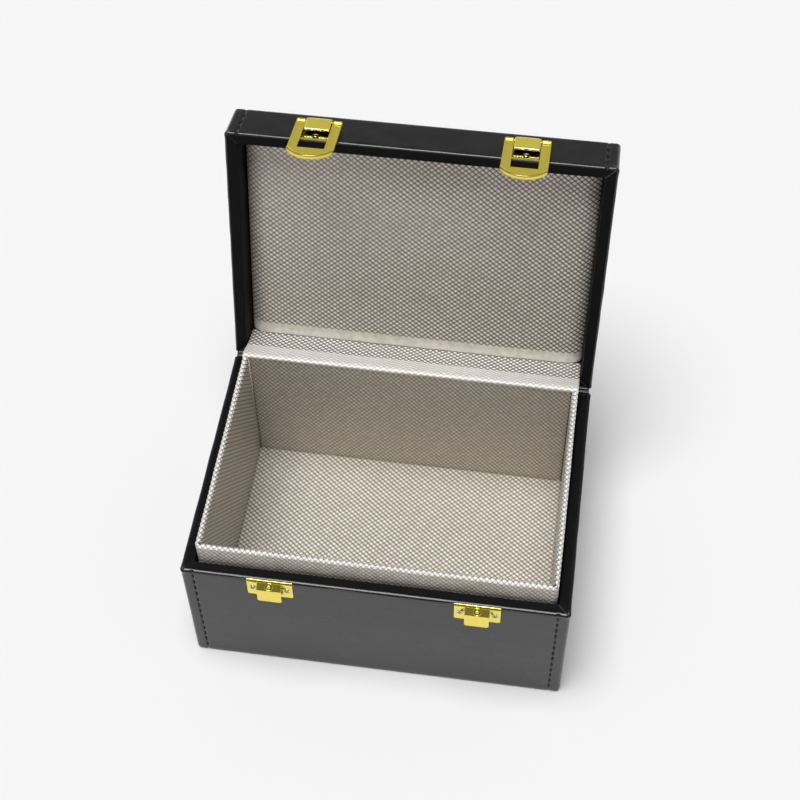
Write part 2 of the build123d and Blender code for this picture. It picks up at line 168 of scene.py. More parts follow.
def grid_corners(rows, columns, wrap):
    """Row and column numbers of every quad's corners in a grid."""
    across = columns if wrap else columns - 1
    row, column = np.meshgrid(np.arange(rows - 1), np.arange(across), indexing="ij")
    row, column = row.ravel(), column.ravel()
    corner_rows = np.stack([row, row, row + 1, row + 1], axis=1)
    corner_columns = np.stack([column, column + 1, column + 1, column], axis=1)
    return corner_rows, corner_columns


def rim_loop(rows, columns):
    """Numbers of a grid's border points, once round."""
    rim = list(range(columns))
    rim += [row * columns + columns - 1 for row in range(1, rows)]
    rim += [(rows - 1) * columns + column for column in range(columns - 2, -1, -1)]
    rim += [row * columns for row in range(rows - 2, 0, -1)]
    return rim


def thin_faces(rows, columns):
    """Faces of a closed thin sheet, which are its front, its back and then the
    quads along its border, with the front's corners and the border's edges."""
    corner_rows, corner_columns = grid_corners(rows, columns, False)
    front = corner_rows * columns + corner_columns
    count = rows * columns
    rim = rim_loop(rows, columns)
    edges = list(zip(rim, rim[1:] + rim[:1]))
    faces = front.tolist() + (front[:, ::-1] + count).tolist()
    faces += [[second, first, first + count, second + count] for first, second in edges]
    return faces, front, edges


def set_finishes(made, looks, chosen):
    """Further finishes of a piece, and which one each of its faces has."""
    for look in looks:
        made.data.materials.append(look)
    made.data.polygons.foreach_set("material_index", np.asarray(chosen, np.int32))


def piece(name, points, faces, cells=None, body=None, material=None, flip=False, print_and_shade=None):
    """A smooth mesh object from points in millimetres, riding on a body.
    cells gives each face corner's place in the fabric's diamonds, and the print strength how clearly their
    lines show at each point; above 1 the lines widen, which also paints shade."""
    if flip:
        faces = [face[::-1] for face in faces]
        cells = None if cells is None else [corner[::-1] for corner in cells]
    mesh = bpy.data.meshes.new(name)
    mesh.from_pydata((np.asarray(points) * MM).tolist(), [], faces)
    if cells is not None:
        layer = mesh.uv_layers.new(name="cells")
        layer.data.foreach_set("uv", np.concatenate(cells).astype(np.float32).ravel())
    if print_and_shade is not None:
        shown = mesh.attributes.new("print_and_shade", "FLOAT", "POINT")
        shown.data.foreach_set("value", np.asarray(print_and_shade, np.float32).ravel())
    mesh.shade_smooth()
    made = bpy.data.objects.new(name, mesh)
    bpy.context.scene.collection.objects.link(made)
    if body:
        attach(made, body)
    if material:
        mesh.materials.append(material)
    return made


def diamonds(u, v, falling_depth=0.45):
    """Height from 0 to 1 of the puffed diamonds at a place in the lattice."""
    rising = np.abs(np.sin(math.pi * (u + v)))
    falling = np.abs(np.sin(math.pi * (u - v)))
    return rising**0.6 * falling**falling_depth


# ================================================================ swept skins
# A skin wraps the walls of an open box.  Its stations run anticlockwise round
# the box and its rows run from the underside, up the outside, over the rim,
# down the inside and back along the hidden face.
NORMALS = np.array([(0, -1), (1, 0), (0, 1), (-1, 0)], float)
ALONG = np.array([(1, 0), (0, 1), (-1, 0), (0, -1)], float)


class Stations:
    """Where a skin's columns stand: runs along each side, and arcs between."""

    def __init__(self, half, radius, runs, corner_steps):
        self.half = np.array(half, float)
        self.radius = radius
        side, share, angle, place = [], [], [], []
        for index, run in enumerate(runs):
            reach = self.half[index % 2] - radius
            for along in run:
                side.append(index)
                share.append(along / reach)
                angle.append(0.0)
                place.append(0.0)
            for step in range(1, corner_steps):
                side.append(index)
                share.append(1.0)
                angle.append(math.pi / 2 * step / corner_steps)
                place.append(step / corner_steps)
        self.side = np.array(side)
        self.share = np.array(share)
        self.corner = np.array(place)  # 0 on the runs, else how far round the corner
        turn = np.array(angle)[:, None]
        following = (self.side + 1) % 4
        self.normal = NORMALS[self.side] * np.cos(turn) + NORMALS[following] * np.sin(turn)

    def places(self, inset, inner_radius):
        """Plan positions of every station for an inset that may vary."""
        radius = np.maximum(self.radius - inset, inner_radius)
        length = self.half[self.side % 2]
        depth = self.half[(self.side + 1) % 2]
        along = ALONG[self.side] * (self.share * (length - inset - radius))[..., None]
        out = NORMALS[self.side] * (depth - inset - radius)[..., None]
        return along + out + self.normal * radius[..., None]


FOLD_ROWS = (4, 6, 4)
UNDER_ROWS = 4
FOOT_ROWS = 6
EDGE_ROWS = 5


def round_fold(radius):
    """A plain quarter turn over a rim: angle, inset and drop of each row."""
    angle = np.linspace(0, math.pi / 2, sum(FOLD_ROWS) - 2)
    return np.stack([angle, radius * (1 - np.cos(angle)), radius * (1 - np.sin(angle))], axis=1)


def board_fold(facet_from, facet_to, lengths):
    """Leather pulled over a board's edge: a sharp turn, a flatter facet between
    two slopes, and a sharp turn again."""
    marks = np.concatenate([[0], np.cumsum(lengths)])
    path = np.linspace(0, marks[-1], 600)
    angle = np.interp(path, marks, np.radians((0, facet_from, facet_to, 90)))
    inset = np.cumsum(np.sin(angle)) * path[1]
    rise = np.cumsum(np.cos(angle)) * path[1]
    places = [marks[:1]]
    for start, end, count in zip(marks, marks[1:], FOLD_ROWS):
        places.append(np.linspace(start, end, count)[1:])
    rows = np.concatenate(places)
    values = (angle, inset - inset[0], rise[-1] - rise)
    return np.stack([np.interp(rows, path, value) for value in values], axis=1)


def skin_rows(height, wall, skin, floor, foot, fold, inner, wall_rows, top_steps, inside_rows, cap):
    """The skin's side view: inset, height, normal and path length per row."""
    rim_inset = fold[-1, 1]
    rim_drop = fold[0, 2]
    rows = []

    def add(zone, inset, z, out, up):
        rows.append((zone, inset, z, out, up))

    for inset in np.linspace(cap, foot, UNDER_ROWS):
        add("under", inset, 0, 0, -1)
    for angle in np.linspace(0, math.pi / 2, FOOT_ROWS)[1:]:
        sine, cosine = math.sin(angle), math.cos(angle)
        add("foot", foot * (1 - sine), foot * (1 - cosine), sine, -cosine)
    for z in wall_rows[1:-1]:
        add("wall", 0, foot + (height - rim_drop - foot) * z, 1, 0)
    for angle, inset, drop in fold:
        add("rim", inset, height - drop, math.cos(angle), math.sin(angle))
    for inset in np.linspace(rim_inset, wall - inner, top_steps + 1)[1:-1]:
        add("top", inset, height, 0, 1)
    for angle in np.linspace(0, math.pi / 2, EDGE_ROWS):
        sine, cosine = math.sin(angle), math.cos(angle)
        add("edge", wall - inner * (1 - sine), height - inner * (1 - cosine), -sine, cosine)
    for z in inside_rows[1:]:
        add("inside", wall, height - inner - (height - inner - floor) * z, -1, 0)
    behind = wall - skin
    under_rim = height - skin
    for inset, z in ((behind, floor), (behind, under_rim), (skin, under_rim), (skin, skin), (cap, skin)):
        add("hidden", inset, z, 0, 0)
    zones = np.array([row[0] for row in rows])
    values = np.array([row[1:] for row in rows], float)
    steps = np.hypot(np.diff(values[:, 0]), np.diff(values[:, 1]))
    path = np.concatenate([[0], np.cumsum(steps)])
    return zones, values[:, 0], values[:, 1], values[:, 2], values[:, 3], path


def swept_points(stations, inset, z, out, up, inner_radius):
    """Points and normals for every row and station."""
    plan = stations.places(inset, inner_radius)
    points = np.concatenate([plan, z[..., None]], axis=-1)
    flat = np.broadcast_to(stations.normal, plan.shape) * out[..., None]
    normals = np.concatenate([flat, up[..., None]], axis=-1)
    return points, normals


def swept_faces(rows, columns):
    corner_rows, corner_columns = grid_corners(rows, columns, True)
    faces = (corner_rows * columns + corner_columns % columns).tolist()
    last = (rows - 1) * columns
    caps = [list(range(columns))[::-1], list(range(last, last + columns))]
    return faces + caps, corner_rows, corner_columns


# ================================================================ node materials
def new_material(name):
    """A material with its Principled shader and the means to add nodes."""
    material = bpy.data.materials.new(name)
    material.use_nodes = True
    tree = material.node_tree
    shader = next(node for node in tree.nodes if node.type == "BSDF_PRINCIPLED")
    return material, tree, shader


def add_node(tree, kind, **settings):
    node = tree.nodes.new(kind)
    for key, value in settings.items():
        setattr(node, key, value)
    return node


def math_node(tree, operation, first, second=None, third=None):
    node = add_node(tree, "ShaderNodeMath", operation=operation)
    for socket, value in zip(node.inputs, (first, second, third)):
        if isinstance(value, (int, float)):
            socket.default_value = value
        elif value is not None:
            tree.links.new(value, socket)
    return node.outputs[0]


def ramp_node(tree, factor, stops):
    """A colour ramp from (place, colour or grey) stops."""
    node = add_node(tree, "ShaderNodeValToRGB")
    elements = node.color_ramp.elements
    while len(elements) < len(stops):
        elements.new(0.5)
    for element, (place, colour) in zip(elements, stops):
        element.position = place
        element.color = (colour,) * 3 + (1,) if isinstance(colour, (int, float)) else (*colour, 1)
    tree.links.new(factor, node.inputs["Fac"])
    return node.outputs["Color"]


def noise_node(tree, vector, scale, detail=3.0, roughness=0.5):
    node = add_node(tree, "ShaderNodeTexNoise")
    node.inputs["Scale"].default_value = scale
    node.inputs["Detail"].default_value = detail
    node.inputs["Roughness"].default_value = roughness
    tree.links.new(vector, node.inputs["Vector"])
    return node.outputs["Fac"]


def bump_node(tree, height, distance, strength=1.0, below=None):
    node = add_node(tree, "ShaderNodeBump")
    node.inputs["Distance"].default_value = distance
    node.inputs["Strength"].default_value = strength
    tree.links.new(height, node.inputs["Height"])
    if below is not None:
        tree.links.new(below, node.inputs["Normal"])
    return node.outputs["Normal"]


PEBBLE = 0.55  # the leather's grain, across one pebble
FINE_GRAIN = 0.3
BROAD_GRAIN = 14
LINE_EDGE = (0.66, 0.92)  # where the dark line between two diamonds begins and is full
LINE_SPREAD = 0.15  # how much wider it grows where the print strength passes 1, for stronger print and for painted shade
# The lines' dark colour, which also fills the tray's inner corners as painted shade.
LINE_AND_SHADE_COLOUR = (0.042, 0.031, 0.02, 1)
CELL_THREADS = 7  # of the weave, across one diamond


def leather_material(name, dull=False):
    """Black coated leather with a very fine pebble grain."""
    material, tree, shader = new_material(name)
    place = add_node(tree, "ShaderNodeTexCoord").outputs["Object"]
    cells = add_node(tree, "ShaderNodeTexVoronoi", feature="SMOOTH_F1")
    cells.inputs["Scale"].default_value = 1 / (PEBBLE * MM)
    cells.inputs["Smoothness"].default_value = 0.6
    tree.links.new(place, cells.inputs["Vector"])
    fine = noise_node(tree, place, 1 / (FINE_GRAIN * MM), detail=2.0)
    broad = noise_node(tree, place, 1 / (BROAD_GRAIN * MM), detail=4.0)
    grain = bump_node(tree, cells.outputs["Distance"], 0.02 * MM, 0.5)
    normal = bump_node(tree, fine, 0.012 * MM, 0.5, grain)
    tree.links.new(normal, shader.inputs["Normal"])
    colour = ramp_node(tree, broad, ((0.3, (0.0045, 0.0045, 0.0052)), (0.7, (0.0062, 0.0062, 0.007))))
    tree.links.new(colour, shader.inputs["Base Color"])
    low, high = (0.45, 0.52) if dull else (0.24, 0.29)
    roughness = ramp_node(tree, broad, ((0.3, low), (0.7, high)))
    tree.links.new(roughness, shader.inputs["Roughness"])
    shader.inputs["IOR"].default_value = 1.55
    shader.inputs["Specular IOR Level"].default_value = 0.05 if dull else 0.5
    return material


def fabric_material(name, dark, light, widths):
    """Nickel-coated woven cloth, embossed with small diamonds."""
    material, tree, shader = new_material(name)
    cells = add_node(tree, "ShaderNodeUVMap", uv_map="cells").outputs["UV"]
    split = add_node(tree, "ShaderNodeSeparateXYZ")
    tree.links.new(cells, split.inputs[0])
    u, v = split.outputs["X"], split.outputs["Y"]
    rising = math_node(tree, "ADD", u, v)
    falling = math_node(tree, "SUBTRACT", u, v)
    edges = []
    for family, width in zip((rising, falling), widths):
        share = math_node(tree, "FRACT", family)
        centred = math_node(tree, "ABSOLUTE", math_node(tree, "SUBTRACT", share, 0.5))
        edges.append(math_node(tree, "MULTIPLY", centred, width))
    print_and_shade = add_node(tree, "ShaderNodeAttribute", attribute_name="print_and_shade").outputs["Fac"]
    # Print strength above 1 widens the lines; in the tray's inner corners it fills them with dark colour,
    # painted shade.
    widened = math_node(tree, "MULTIPLY", math_node(tree, "SUBTRACT", print_and_shade, 1.0), LINE_SPREAD)
    edge = math_node(tree, "ADD", math_node(tree, "MAXIMUM", *edges), widened)
    soft_edge = add_node(tree, "ShaderNodeMapRange", interpolation_type="SMOOTHSTEP")
    soft_edge.inputs["From Min"].default_value = LINE_EDGE[0]
    soft_edge.inputs["From Max"].default_value = LINE_EDGE[1]
    tree.links.new(edge, soft_edge.inputs["Value"])
    strength = math_node(tree, "MINIMUM", print_and_shade, 1.0)
    line = math_node(tree, "MULTIPLY", soft_edge.outputs["Result"], strength)

    whole = add_node(tree, "ShaderNodeCombineXYZ")
    tree.links.new(math_node(tree, "FLOOR", rising), whole.inputs["X"])
    tree.links.new(math_node(tree, "FLOOR", falling), whole.inputs["Y"])
    chance = add_node(tree, "ShaderNodeTexWhiteNoise", noise_dimensions="2D")
    tree.links.new(whole.outputs[0], chance.inputs["Vector"])
    cloth = ramp_node(tree, chance.outputs["Value"], ((0.0, dark), (1.0, light)))
    mix = add_node(tree, "ShaderNodeMix", data_type="RGBA")
    tree.links.new(line, mix.inputs["Factor"])
    tree.links.new(cloth, mix.inputs["A"])
    mix.inputs["B"].default_value = LINE_AND_SHADE_COLOUR
    tree.links.new(mix.outputs["Result"], shader.inputs["Base Color"])

    pitch = 2 * math.pi * CELL_THREADS
    weft = math_node(tree, "SINE", math_node(tree, "MULTIPLY", rising, pitch))
    warp = math_node(tree, "SINE", math_node(tree, "MULTIPLY", falling, pitch))
    weave = math_node(tree, "MULTIPLY", weft, warp)
    threads = bump_node(tree, weave, 0.02 * MM, 0.6)
    sunk = math_node(tree, "SUBTRACT", 1.0, line)
    normal = bump_node(tree, sunk, 0.08 * MM, 0.5, threads)
    tree.links.new(normal, shader.inputs["Normal"])
    shader.inputs["Metallic"].default_value = 0.2
    roughness = ramp_node(tree, chance.outputs["Value"], ((0.0, 0.38), (1.0, 0.5)))
    tree.links.new(roughness, shader.inputs["Roughness"])
    return material


def mottled_material(
    name, grain, dark, light, gloss,
    metallic=0.0, relief=0.02, strength=0.3, detail=3.0, coarse=0.5, reach=(0.3, 0.7),
):
    """A finish that wanders between two shades, with a slight relief. gloss is
    one roughness, or two that it wanders between, and reach where it does."""
    material, tree, shader = new_material(name)
    place = add_node(tree, "ShaderNodeTexCoord").outputs["Object"]
    broad = noise_node(tree, place, 1 / (grain * MM), detail, coarse)
    colour = ramp_node(tree, broad, ((0.3, dark), (0.7, light)))
    tree.links.new(colour, shader.inputs["Base Color"])
    if isinstance(gloss, tuple):
        roughness = ramp_node(tree, broad, tuple(zip(reach, gloss)))
        tree.links.new(roughness, shader.inputs["Roughness"])
    else:
        shader.inputs["Roughness"].default_value = gloss
    tree.links.new(bump_node(tree, broad, relief * MM, strength), shader.inputs["Normal"])
    shader.inputs["Metallic"].default_value = metallic
    return material


def gold_material(name, metallic, shade, gloss):
    """Bright gold plating on pressed sheet, very slightly uneven."""
    deep, bright = (tuple(part * change for part in shade) for change in (0.97, 1.03))
    return mottled_material(name, 2.5, deep, bright, gloss, metallic, reach=(0.25, 0.75))


LEATHER_LOOK = leather_material("leather_look")
RIM_LOOK = leather_material("leather_rim_look", dull=True)
FABRIC_LOOK = fabric_material("fabric_look", (0.71, 0.65, 0.565), (0.84, 0.78, 0.695), (2.06, 1.94))
WALL_LOOK = fabric_material("fabric_wall_look", (0.71, 0.65, 0.565), (0.84, 0.78, 0.695), (2.04, 1.88))
# A paler copy of the cloth: painted sheen on the tray's rims and on the hinge strip.
PAINTED_SHEEN_LOOK = fabric_material("fabric_painted_sheen_look", (0.88, 0.85, 0.80), (0.95, 0.93, 0.89), (2.0, 1.98))
GOLD_LOOK = gold_material("gold_look", 1.0, (0.9, 0.76, 0.135), (0.2, 0.27))
LATCH_LOOK = gold_material("gold_lacquered_look", 0.6, (0.86, 0.71, 0.085), (0.16, 0.22))
# A paler, less metallic copy of the gold: painted light on the flaps, the catch rivets' domes and the
# lips' outer faces.
FLAP_LOOK = gold_material("gold_flap_look", 0.48, (0.88, 0.74, 0.11), (0.2, 0.26))
# A dark copy of the gold, painted shade: in slots, grooves, the line along each lip, the latch rivets and
# the latch plates.
SHADED_LOOK = gold_material("gold_shaded_look", 1.0, (0.34, 0.3, 0.09), (0.1, 0.14))
POLISHED_LOOK = gold_material("gold_polished_look", 1.0, (0.9, 0.76, 0.135), (0.08, 0.12))
# Pale brass plating on the small screws, also painted as highlights on the flaps' feet and the lips'
# beads; waxed sewing thread and pressed fibreboard.
PALE_BRASS_AND_HIGHLIGHT_LOOK = mottled_material(
    "pale_brass_and_highlight_look", 1.2, (0.78, 0.70, 0.42), (0.88, 0.82, 0.58), (0.12, 0.2), metallic=1.0, strength=0.4
)
THREAD_LOOK = mottled_material("thread_look", 0.12, 0.003, 0.007, 0.55, strength=0.5, detail=2.0)
BOARD_LOOK = mottled_material(
    "board_look", 0.8, (0.30, 0.20, 0.12), (0.48, 0.35, 0.22), 0.9,
    relief=0.05, strength=0.5, detail=5.0, coarse=0.7,
)


# ================================================================ leather shells
STITCH_PLACES = {}
for node_name, place_of in (("base_stitching", lambda points: points), ("lid_stitching", closed)):
    stitch_points = place_of(node_points(node_name))
    heights = np.unique(np.round(stitch_points[:, 2], 2))
    STITCH_PLACES[node_name] = heights.reshape(-1, 2)
STITCH_X = np.abs(node_points("base_stitching")[:, 0]).mean()
GROOVE_DEPTH = 0.34
GROOVE_WIDTH = 0.42
HOLE_DEPTH = 0.22
HOLE_WIDTH = 0.45
LAP_HEIGHT = 0.2
LAP_REACH = 3.2
RIDGE_HEIGHT = 0.28
RIDGE_PLACE = 0.35
RIDGE_WIDTH = 0.3
CREASE_DEPTH = 0.2
RIM_DROP = 0.18  # the rims' tops lie this much lower than their folds
TIP_BULGE = 0.35
TIP_REACH = (2.6, 1.6)  # of that bulge, from the corner and from the rim
LAP_ENDS = (0.45, 0.6)  # how far round a corner the front and back leather reach
LAP_STARTS = (0.4, 0.55)
LEATHER_WAVES = ((26, 0.035), (9, 0.012))  # wavelength and height of its unevenness
RIM_WAVES = ((14, 0.05), (5, 0.012))
LEATHER_STEP = 2.4
SEAM_STEP = 0.45  # near the corners, where the seams and stitches are
SEAM_REACH = 9.0
WALL_STEP = 1.2
UNDER_REACH = 9.0
INNER_CORNER = 0.25


def leather_shell(name, low, high, flipped, fold, seam_rise, stitch_node, body, covers, seed):
    """The leather round the base or the lid, with its rims and mitred corners."""
    height = high[2] - low[2]
    half = (high[:2] - low[:2]) / 2
    runs = []
    for index in range(4):
        reach = half[index % 2] - EDGE_ROUND
        runs.append(graded(-reach, reach, LEATHER_STEP, SEAM_STEP, [-reach, reach], SEAM_REACH))
    stations = Stations(half, EDGE_ROUND, runs, 10)
    wall_rows = np.linspace(0, 1, max(int(height / WALL_STEP), 6))
    profiles = [
        skin_rows(
            height, CASE_WALL, LEATHER, CASE_FLOOR, EDGE_ROUND,
            rim, INNER_ROUND, wall_rows, 12, np.linspace(0, 1, 5), UNDER_REACH,
        )
        for rim in (fold, round_fold(HINGE_ROUND))
    ]
    zones = profiles[0][0]
    hinge_share = np.where(stations.side == 2, 1.0, 0.0)
    round_back = (stations.side == 1) & (stations.corner > 0)
    hinge_share[round_back] = smooth_step(0, 0.9, stations.corner[round_back])
    round_front = (stations.side == 2) & (stations.corner > 0)
    hinge_share[round_front] = 1 - smooth_step(0.1, 1, stations.corner[round_front])
    inset, z, out, up = (
        profiles[0][key][:, None] * (1 - hinge_share) + profiles[1][key][:, None] * hinge_share
        for key in range(1, 5)
    )
    points, normals = swept_points(stations, inset, z, out, up, INNER_CORNER)
    shown = (zones != "hidden")[:, None]

    upright = high[2] - points[..., 2] if flipped else points[..., 2] + low[2]
    from_side = half[0] - np.abs(points[..., 0])
    from_front = half[1] - np.abs(points[..., 1])
    relief = ripples(points, LEATHER_WAVES, seed)
    relief = relief * (~np.isin(zones, ("under", "foot")))[:, None]
    on_rim = np.isin(zones, ("rim", "top", "edge"))[:, None]
    relief = relief + np.where(on_rim, ripples(points, RIM_WAVES, seed + 2), 0)
    relief = relief - np.where(np.isin(zones, ("top", "edge"))[:, None], RIM_DROP, 0)
    relief = relief - np.where((zones == "rim")[:, None], RIM_DROP * np.clip(up, 0, 1) ** 2, 0)

    # The front and back leather laps over the side leather at each rim corner.
    lapping = np.where(stations.side % 2 == 0, 1.0, 0.0)
    leaving = (stations.side % 2 == 0) & (stations.corner > 0)
    lapping[leaving] = 1 - smooth_step(*LAP_ENDS, stations.corner[leaving])
    arriving = (stations.side % 2 == 1) & (stations.corner > 0)
    lapping[arriving] = smooth_step(*LAP_STARTS, stations.corner[arriving])
    past_mitre = from_side - from_front
    lap = LAP_HEIGHT * lapping * hump(np.maximum(past_mitre, 0), LAP_REACH)
    lap = lap + RIDGE_HEIGHT * hump(past_mitre - RIDGE_PLACE, RIDGE_WIDTH)
    crease = CREASE_DEPTH * (1 - lapping) * hump(past_mitre + 0.5, 0.45)
    folded = smooth_step(-0.2, 0.8, up)
    relief = relief + np.where(on_rim, (lap * seam_rise - crease) * folded, 0)
    corner_distance = np.hypot(from_side, from_front)
    rim_distance = height - points[..., 2]
    tip = TIP_BULGE * hump(corner_distance, TIP_REACH[0]) * hump(rim_distance, TIP_REACH[1])
    relief = relief + np.where((out > 0) & (points[..., 2] > height / 2), tip * np.clip(out, 0, 1), 0)

    # The stitching lies in a shallow groove with a dimple at each hole.
    on_front = (stations.normal[:, 1] < -0.99)[None, :] & (out > 0.3)
    beside = np.abs(np.abs(points[..., 0]) - STITCH_X)
    groove = GROOVE_DEPTH * hump(beside, GROOVE_WIDTH)
    holes = np.zeros_like(groove)
    for hole in STITCH_PLACES[stitch_node].ravel():
        holes = np.maximum(holes, hump(np.hypot(beside, upright - hole), HOLE_WIDTH))
    relief = relief - np.where(on_front, groove + HOLE_DEPTH * holes, 0)
    points = points + normals * np.where(shown, relief, 0)[..., None]

    # The turned-in leather is duller than the outside, except on the mitre's fold.
    faces, corner_rows, corner_columns = swept_faces(*points.shape[:2])
    columns = points.shape[1]
    turned_in = np.isin(zones[corner_rows[:, 2]], ("top", "edge", "inside", "hidden"))
    fold_line = np.abs(past_mitre - RIDGE_PLACE)[corner_rows[:, 2], corner_columns[:, 2] % columns]
    dull = np.append(turned_in & (fold_line > RIDGE_WIDTH), (False, False))
    points = points.reshape(-1, 3)
    points[:, :2] += (low[:2] + high[:2]) / 2
    if flipped:
        points[:, 2] = high[2] - points[:, 2]
        points = opened(points)
    else:
        points[:, 2] += low[2]
    made = piece(name, points, faces, body=body, material=LEATHER_LOOK, flip=flipped)
    set_finishes(made, [RIM_LOOK], dull)
    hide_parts(*covers)


BASE_FOLD = board_fold(38, 55, (0.15, 0.65, 0.9))
LID_FOLD = board_fold(20, 52, (0.15, 0.7, 0.4))
leather_shell(
    "base_leather", BASE_LOW, BASE_HIGH, False, BASE_FOLD, 0.95,
    "base_stitching", "base", BASE_COVERS, 11,
)
leather_shell(
    "lid_leather", LID_LOW, LID_HIGH, True, LID_FOLD, 0.25,
    "lid_stitching", "lid", LID_COVERS, 23,
)

# ================================================================ stitches
THREAD_RADIUS = 0.34
THREAD_SQUASH = 0.62
THREAD_ROWS = 11
THREAD_AROUND = 12
THREAD_TWIST = 1.6  # turns of the two plies along a stitch
PLY_SWELL = 0.16
THREAD_END = 0.25  # its thickness at an end, as a share
STITCH_SEAT = 0.25  # a stitch's ends lie this deep under the leather's face
STITCH_BOW = 0.37
OVER_SINK = 0.12  # of the stitch over the rim, under the rim's round
OVER_FLAT = 0.85  # how near its ends come to that round, as a share
OVER_LEAD = (0.1, 1.1)  # how far it starts inwards and before the round
OVER_TAIL = (0.9, 0.25)  # how far it ends inwards and past it


def stitch_mesh(path, seed):
    """A twisted two-ply thread along a path of points, thinning at its ends."""
    path = np.array(path, float)
    along = np.gradient(path, axis=0)
    along /= np.linalg.norm(along, axis=1)[:, None]
    side = np.array((1.0, 0.0, 0.0))
    lift = np.cross(side, along)
    around = np.linspace(0, 2 * math.pi, THREAD_AROUND, endpoint=False)
    share = np.linspace(0, 1, len(path))
    taper = np.clip(np.sin(math.pi * share), 0, 1) ** 0.35
    taper = np.maximum(taper, THREAD_END)
    twist = around[None, :] - THREAD_TWIST * 2 * math.pi * share[:, None] + seed
    plies = 1 + PLY_SWELL * np.cos(2 * twist)
    radius = THREAD_RADIUS * taper[:, None] * plies
    points = (
        path[:, None, :]
        + side * (radius * np.cos(around))[..., None]
        + lift[:, None, :] * (radius * THREAD_SQUASH * np.sin(around))[..., None]
    )
    corner_rows, corner_columns = grid_corners(len(path), THREAD_AROUND, True)
    faces = (corner_rows * THREAD_AROUND + corner_columns % THREAD_AROUND).tolist()
    last = (len(path) - 1) * THREAD_AROUND
    faces.append(list(range(THREAD_AROUND))[::-1])
    faces.append(list(range(last, last + THREAD_AROUND)))
    return points.reshape(-1, 3), faces


def stitching(name, node, low, high, rim_z, body, place):
    """The two columns of stitches on a front, and the stitch over its rim."""
    up = 1 if rim_z > (low[2] + high[2]) / 2 else -1
    share = np.linspace(0, 1, THREAD_ROWS)
    bow = np.sin(math.pi * share)
    points, faces = [], []
    for sign in (-1, 1):
        paths = []
        for bottom, top in STITCH_PLACES[node]:
            z = bottom + (top - bottom) * share
            y = low[1] + STITCH_SEAT - STITCH_BOW * bow
            paths.append(np.stack([np.full_like(z, sign * STITCH_X), y, z], axis=1))
        turn = share * math.pi / 2
        reach = RIM_ROUND - OVER_SINK
        swing = OVER_FLAT + (1 - OVER_FLAT) * bow
        over = np.stack(
            [
                np.full_like(turn, sign * STITCH_X),
                low[1] + RIM_ROUND - reach * np.cos(turn) * swing,
                rim_z - up * RIM_ROUND + up * reach * np.sin(turn) * swing,
            ],
            axis=1,
        )
        lead = over[0] - np.array([0, -OVER_LEAD[0], up * OVER_LEAD[1]])
        tail = over[-1] + np.array([0, OVER_TAIL[0], -up * OVER_TAIL[1]])
        paths.append(np.concatenate([[lead], over, [tail]]))
        for path in paths:
            made, made_faces = stitch_mesh(path, len(points))
            start = sum(len(part) for part in points)
            points.append(made)
            faces += [[corner + start for corner in face] for face in made_faces]
    made = piece(name, place(np.concatenate(points)), faces, body=body, material=THREAD_LOOK)
    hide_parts(node)


stitching("base_thread", "base_stitching", BASE_LOW, BASE_HIGH, BASE_HIGH[2], "base", np.array)
stitching("lid_thread", "lid_stitching", LID_LOW, LID_HIGH, LID_LOW[2], "lid", opened)

# ================================================================ tray
TRAY_SHOWN = 14.0  # how far down the outside of the tray its diamonds are shaped
CORNER_SLIT = (0.45, 1.7, 0.45)  # how deep the slit in each inner corner lies, across it
CORNER_PAINTED_SHADE = (5.0, 6.0, 5.0)  # how strongly shade is painted into it, by raising the print strength there
RIM_PRINT = 0.75
OUTSIDE_PRINT = 0.8
INSIDE_PRINT = 0.85
WALL_FALLING = 0.32  # on the walls the pull of the cloth flattens one way of the diamonds
TRAY_INNER_CORNER = 0.75
TRAY_WAVE = (30, 0.08)
TRAY_FOOT = 0.3
SHOWN_FADE = 3
FLOOR_WAVE = (34, 0.06)


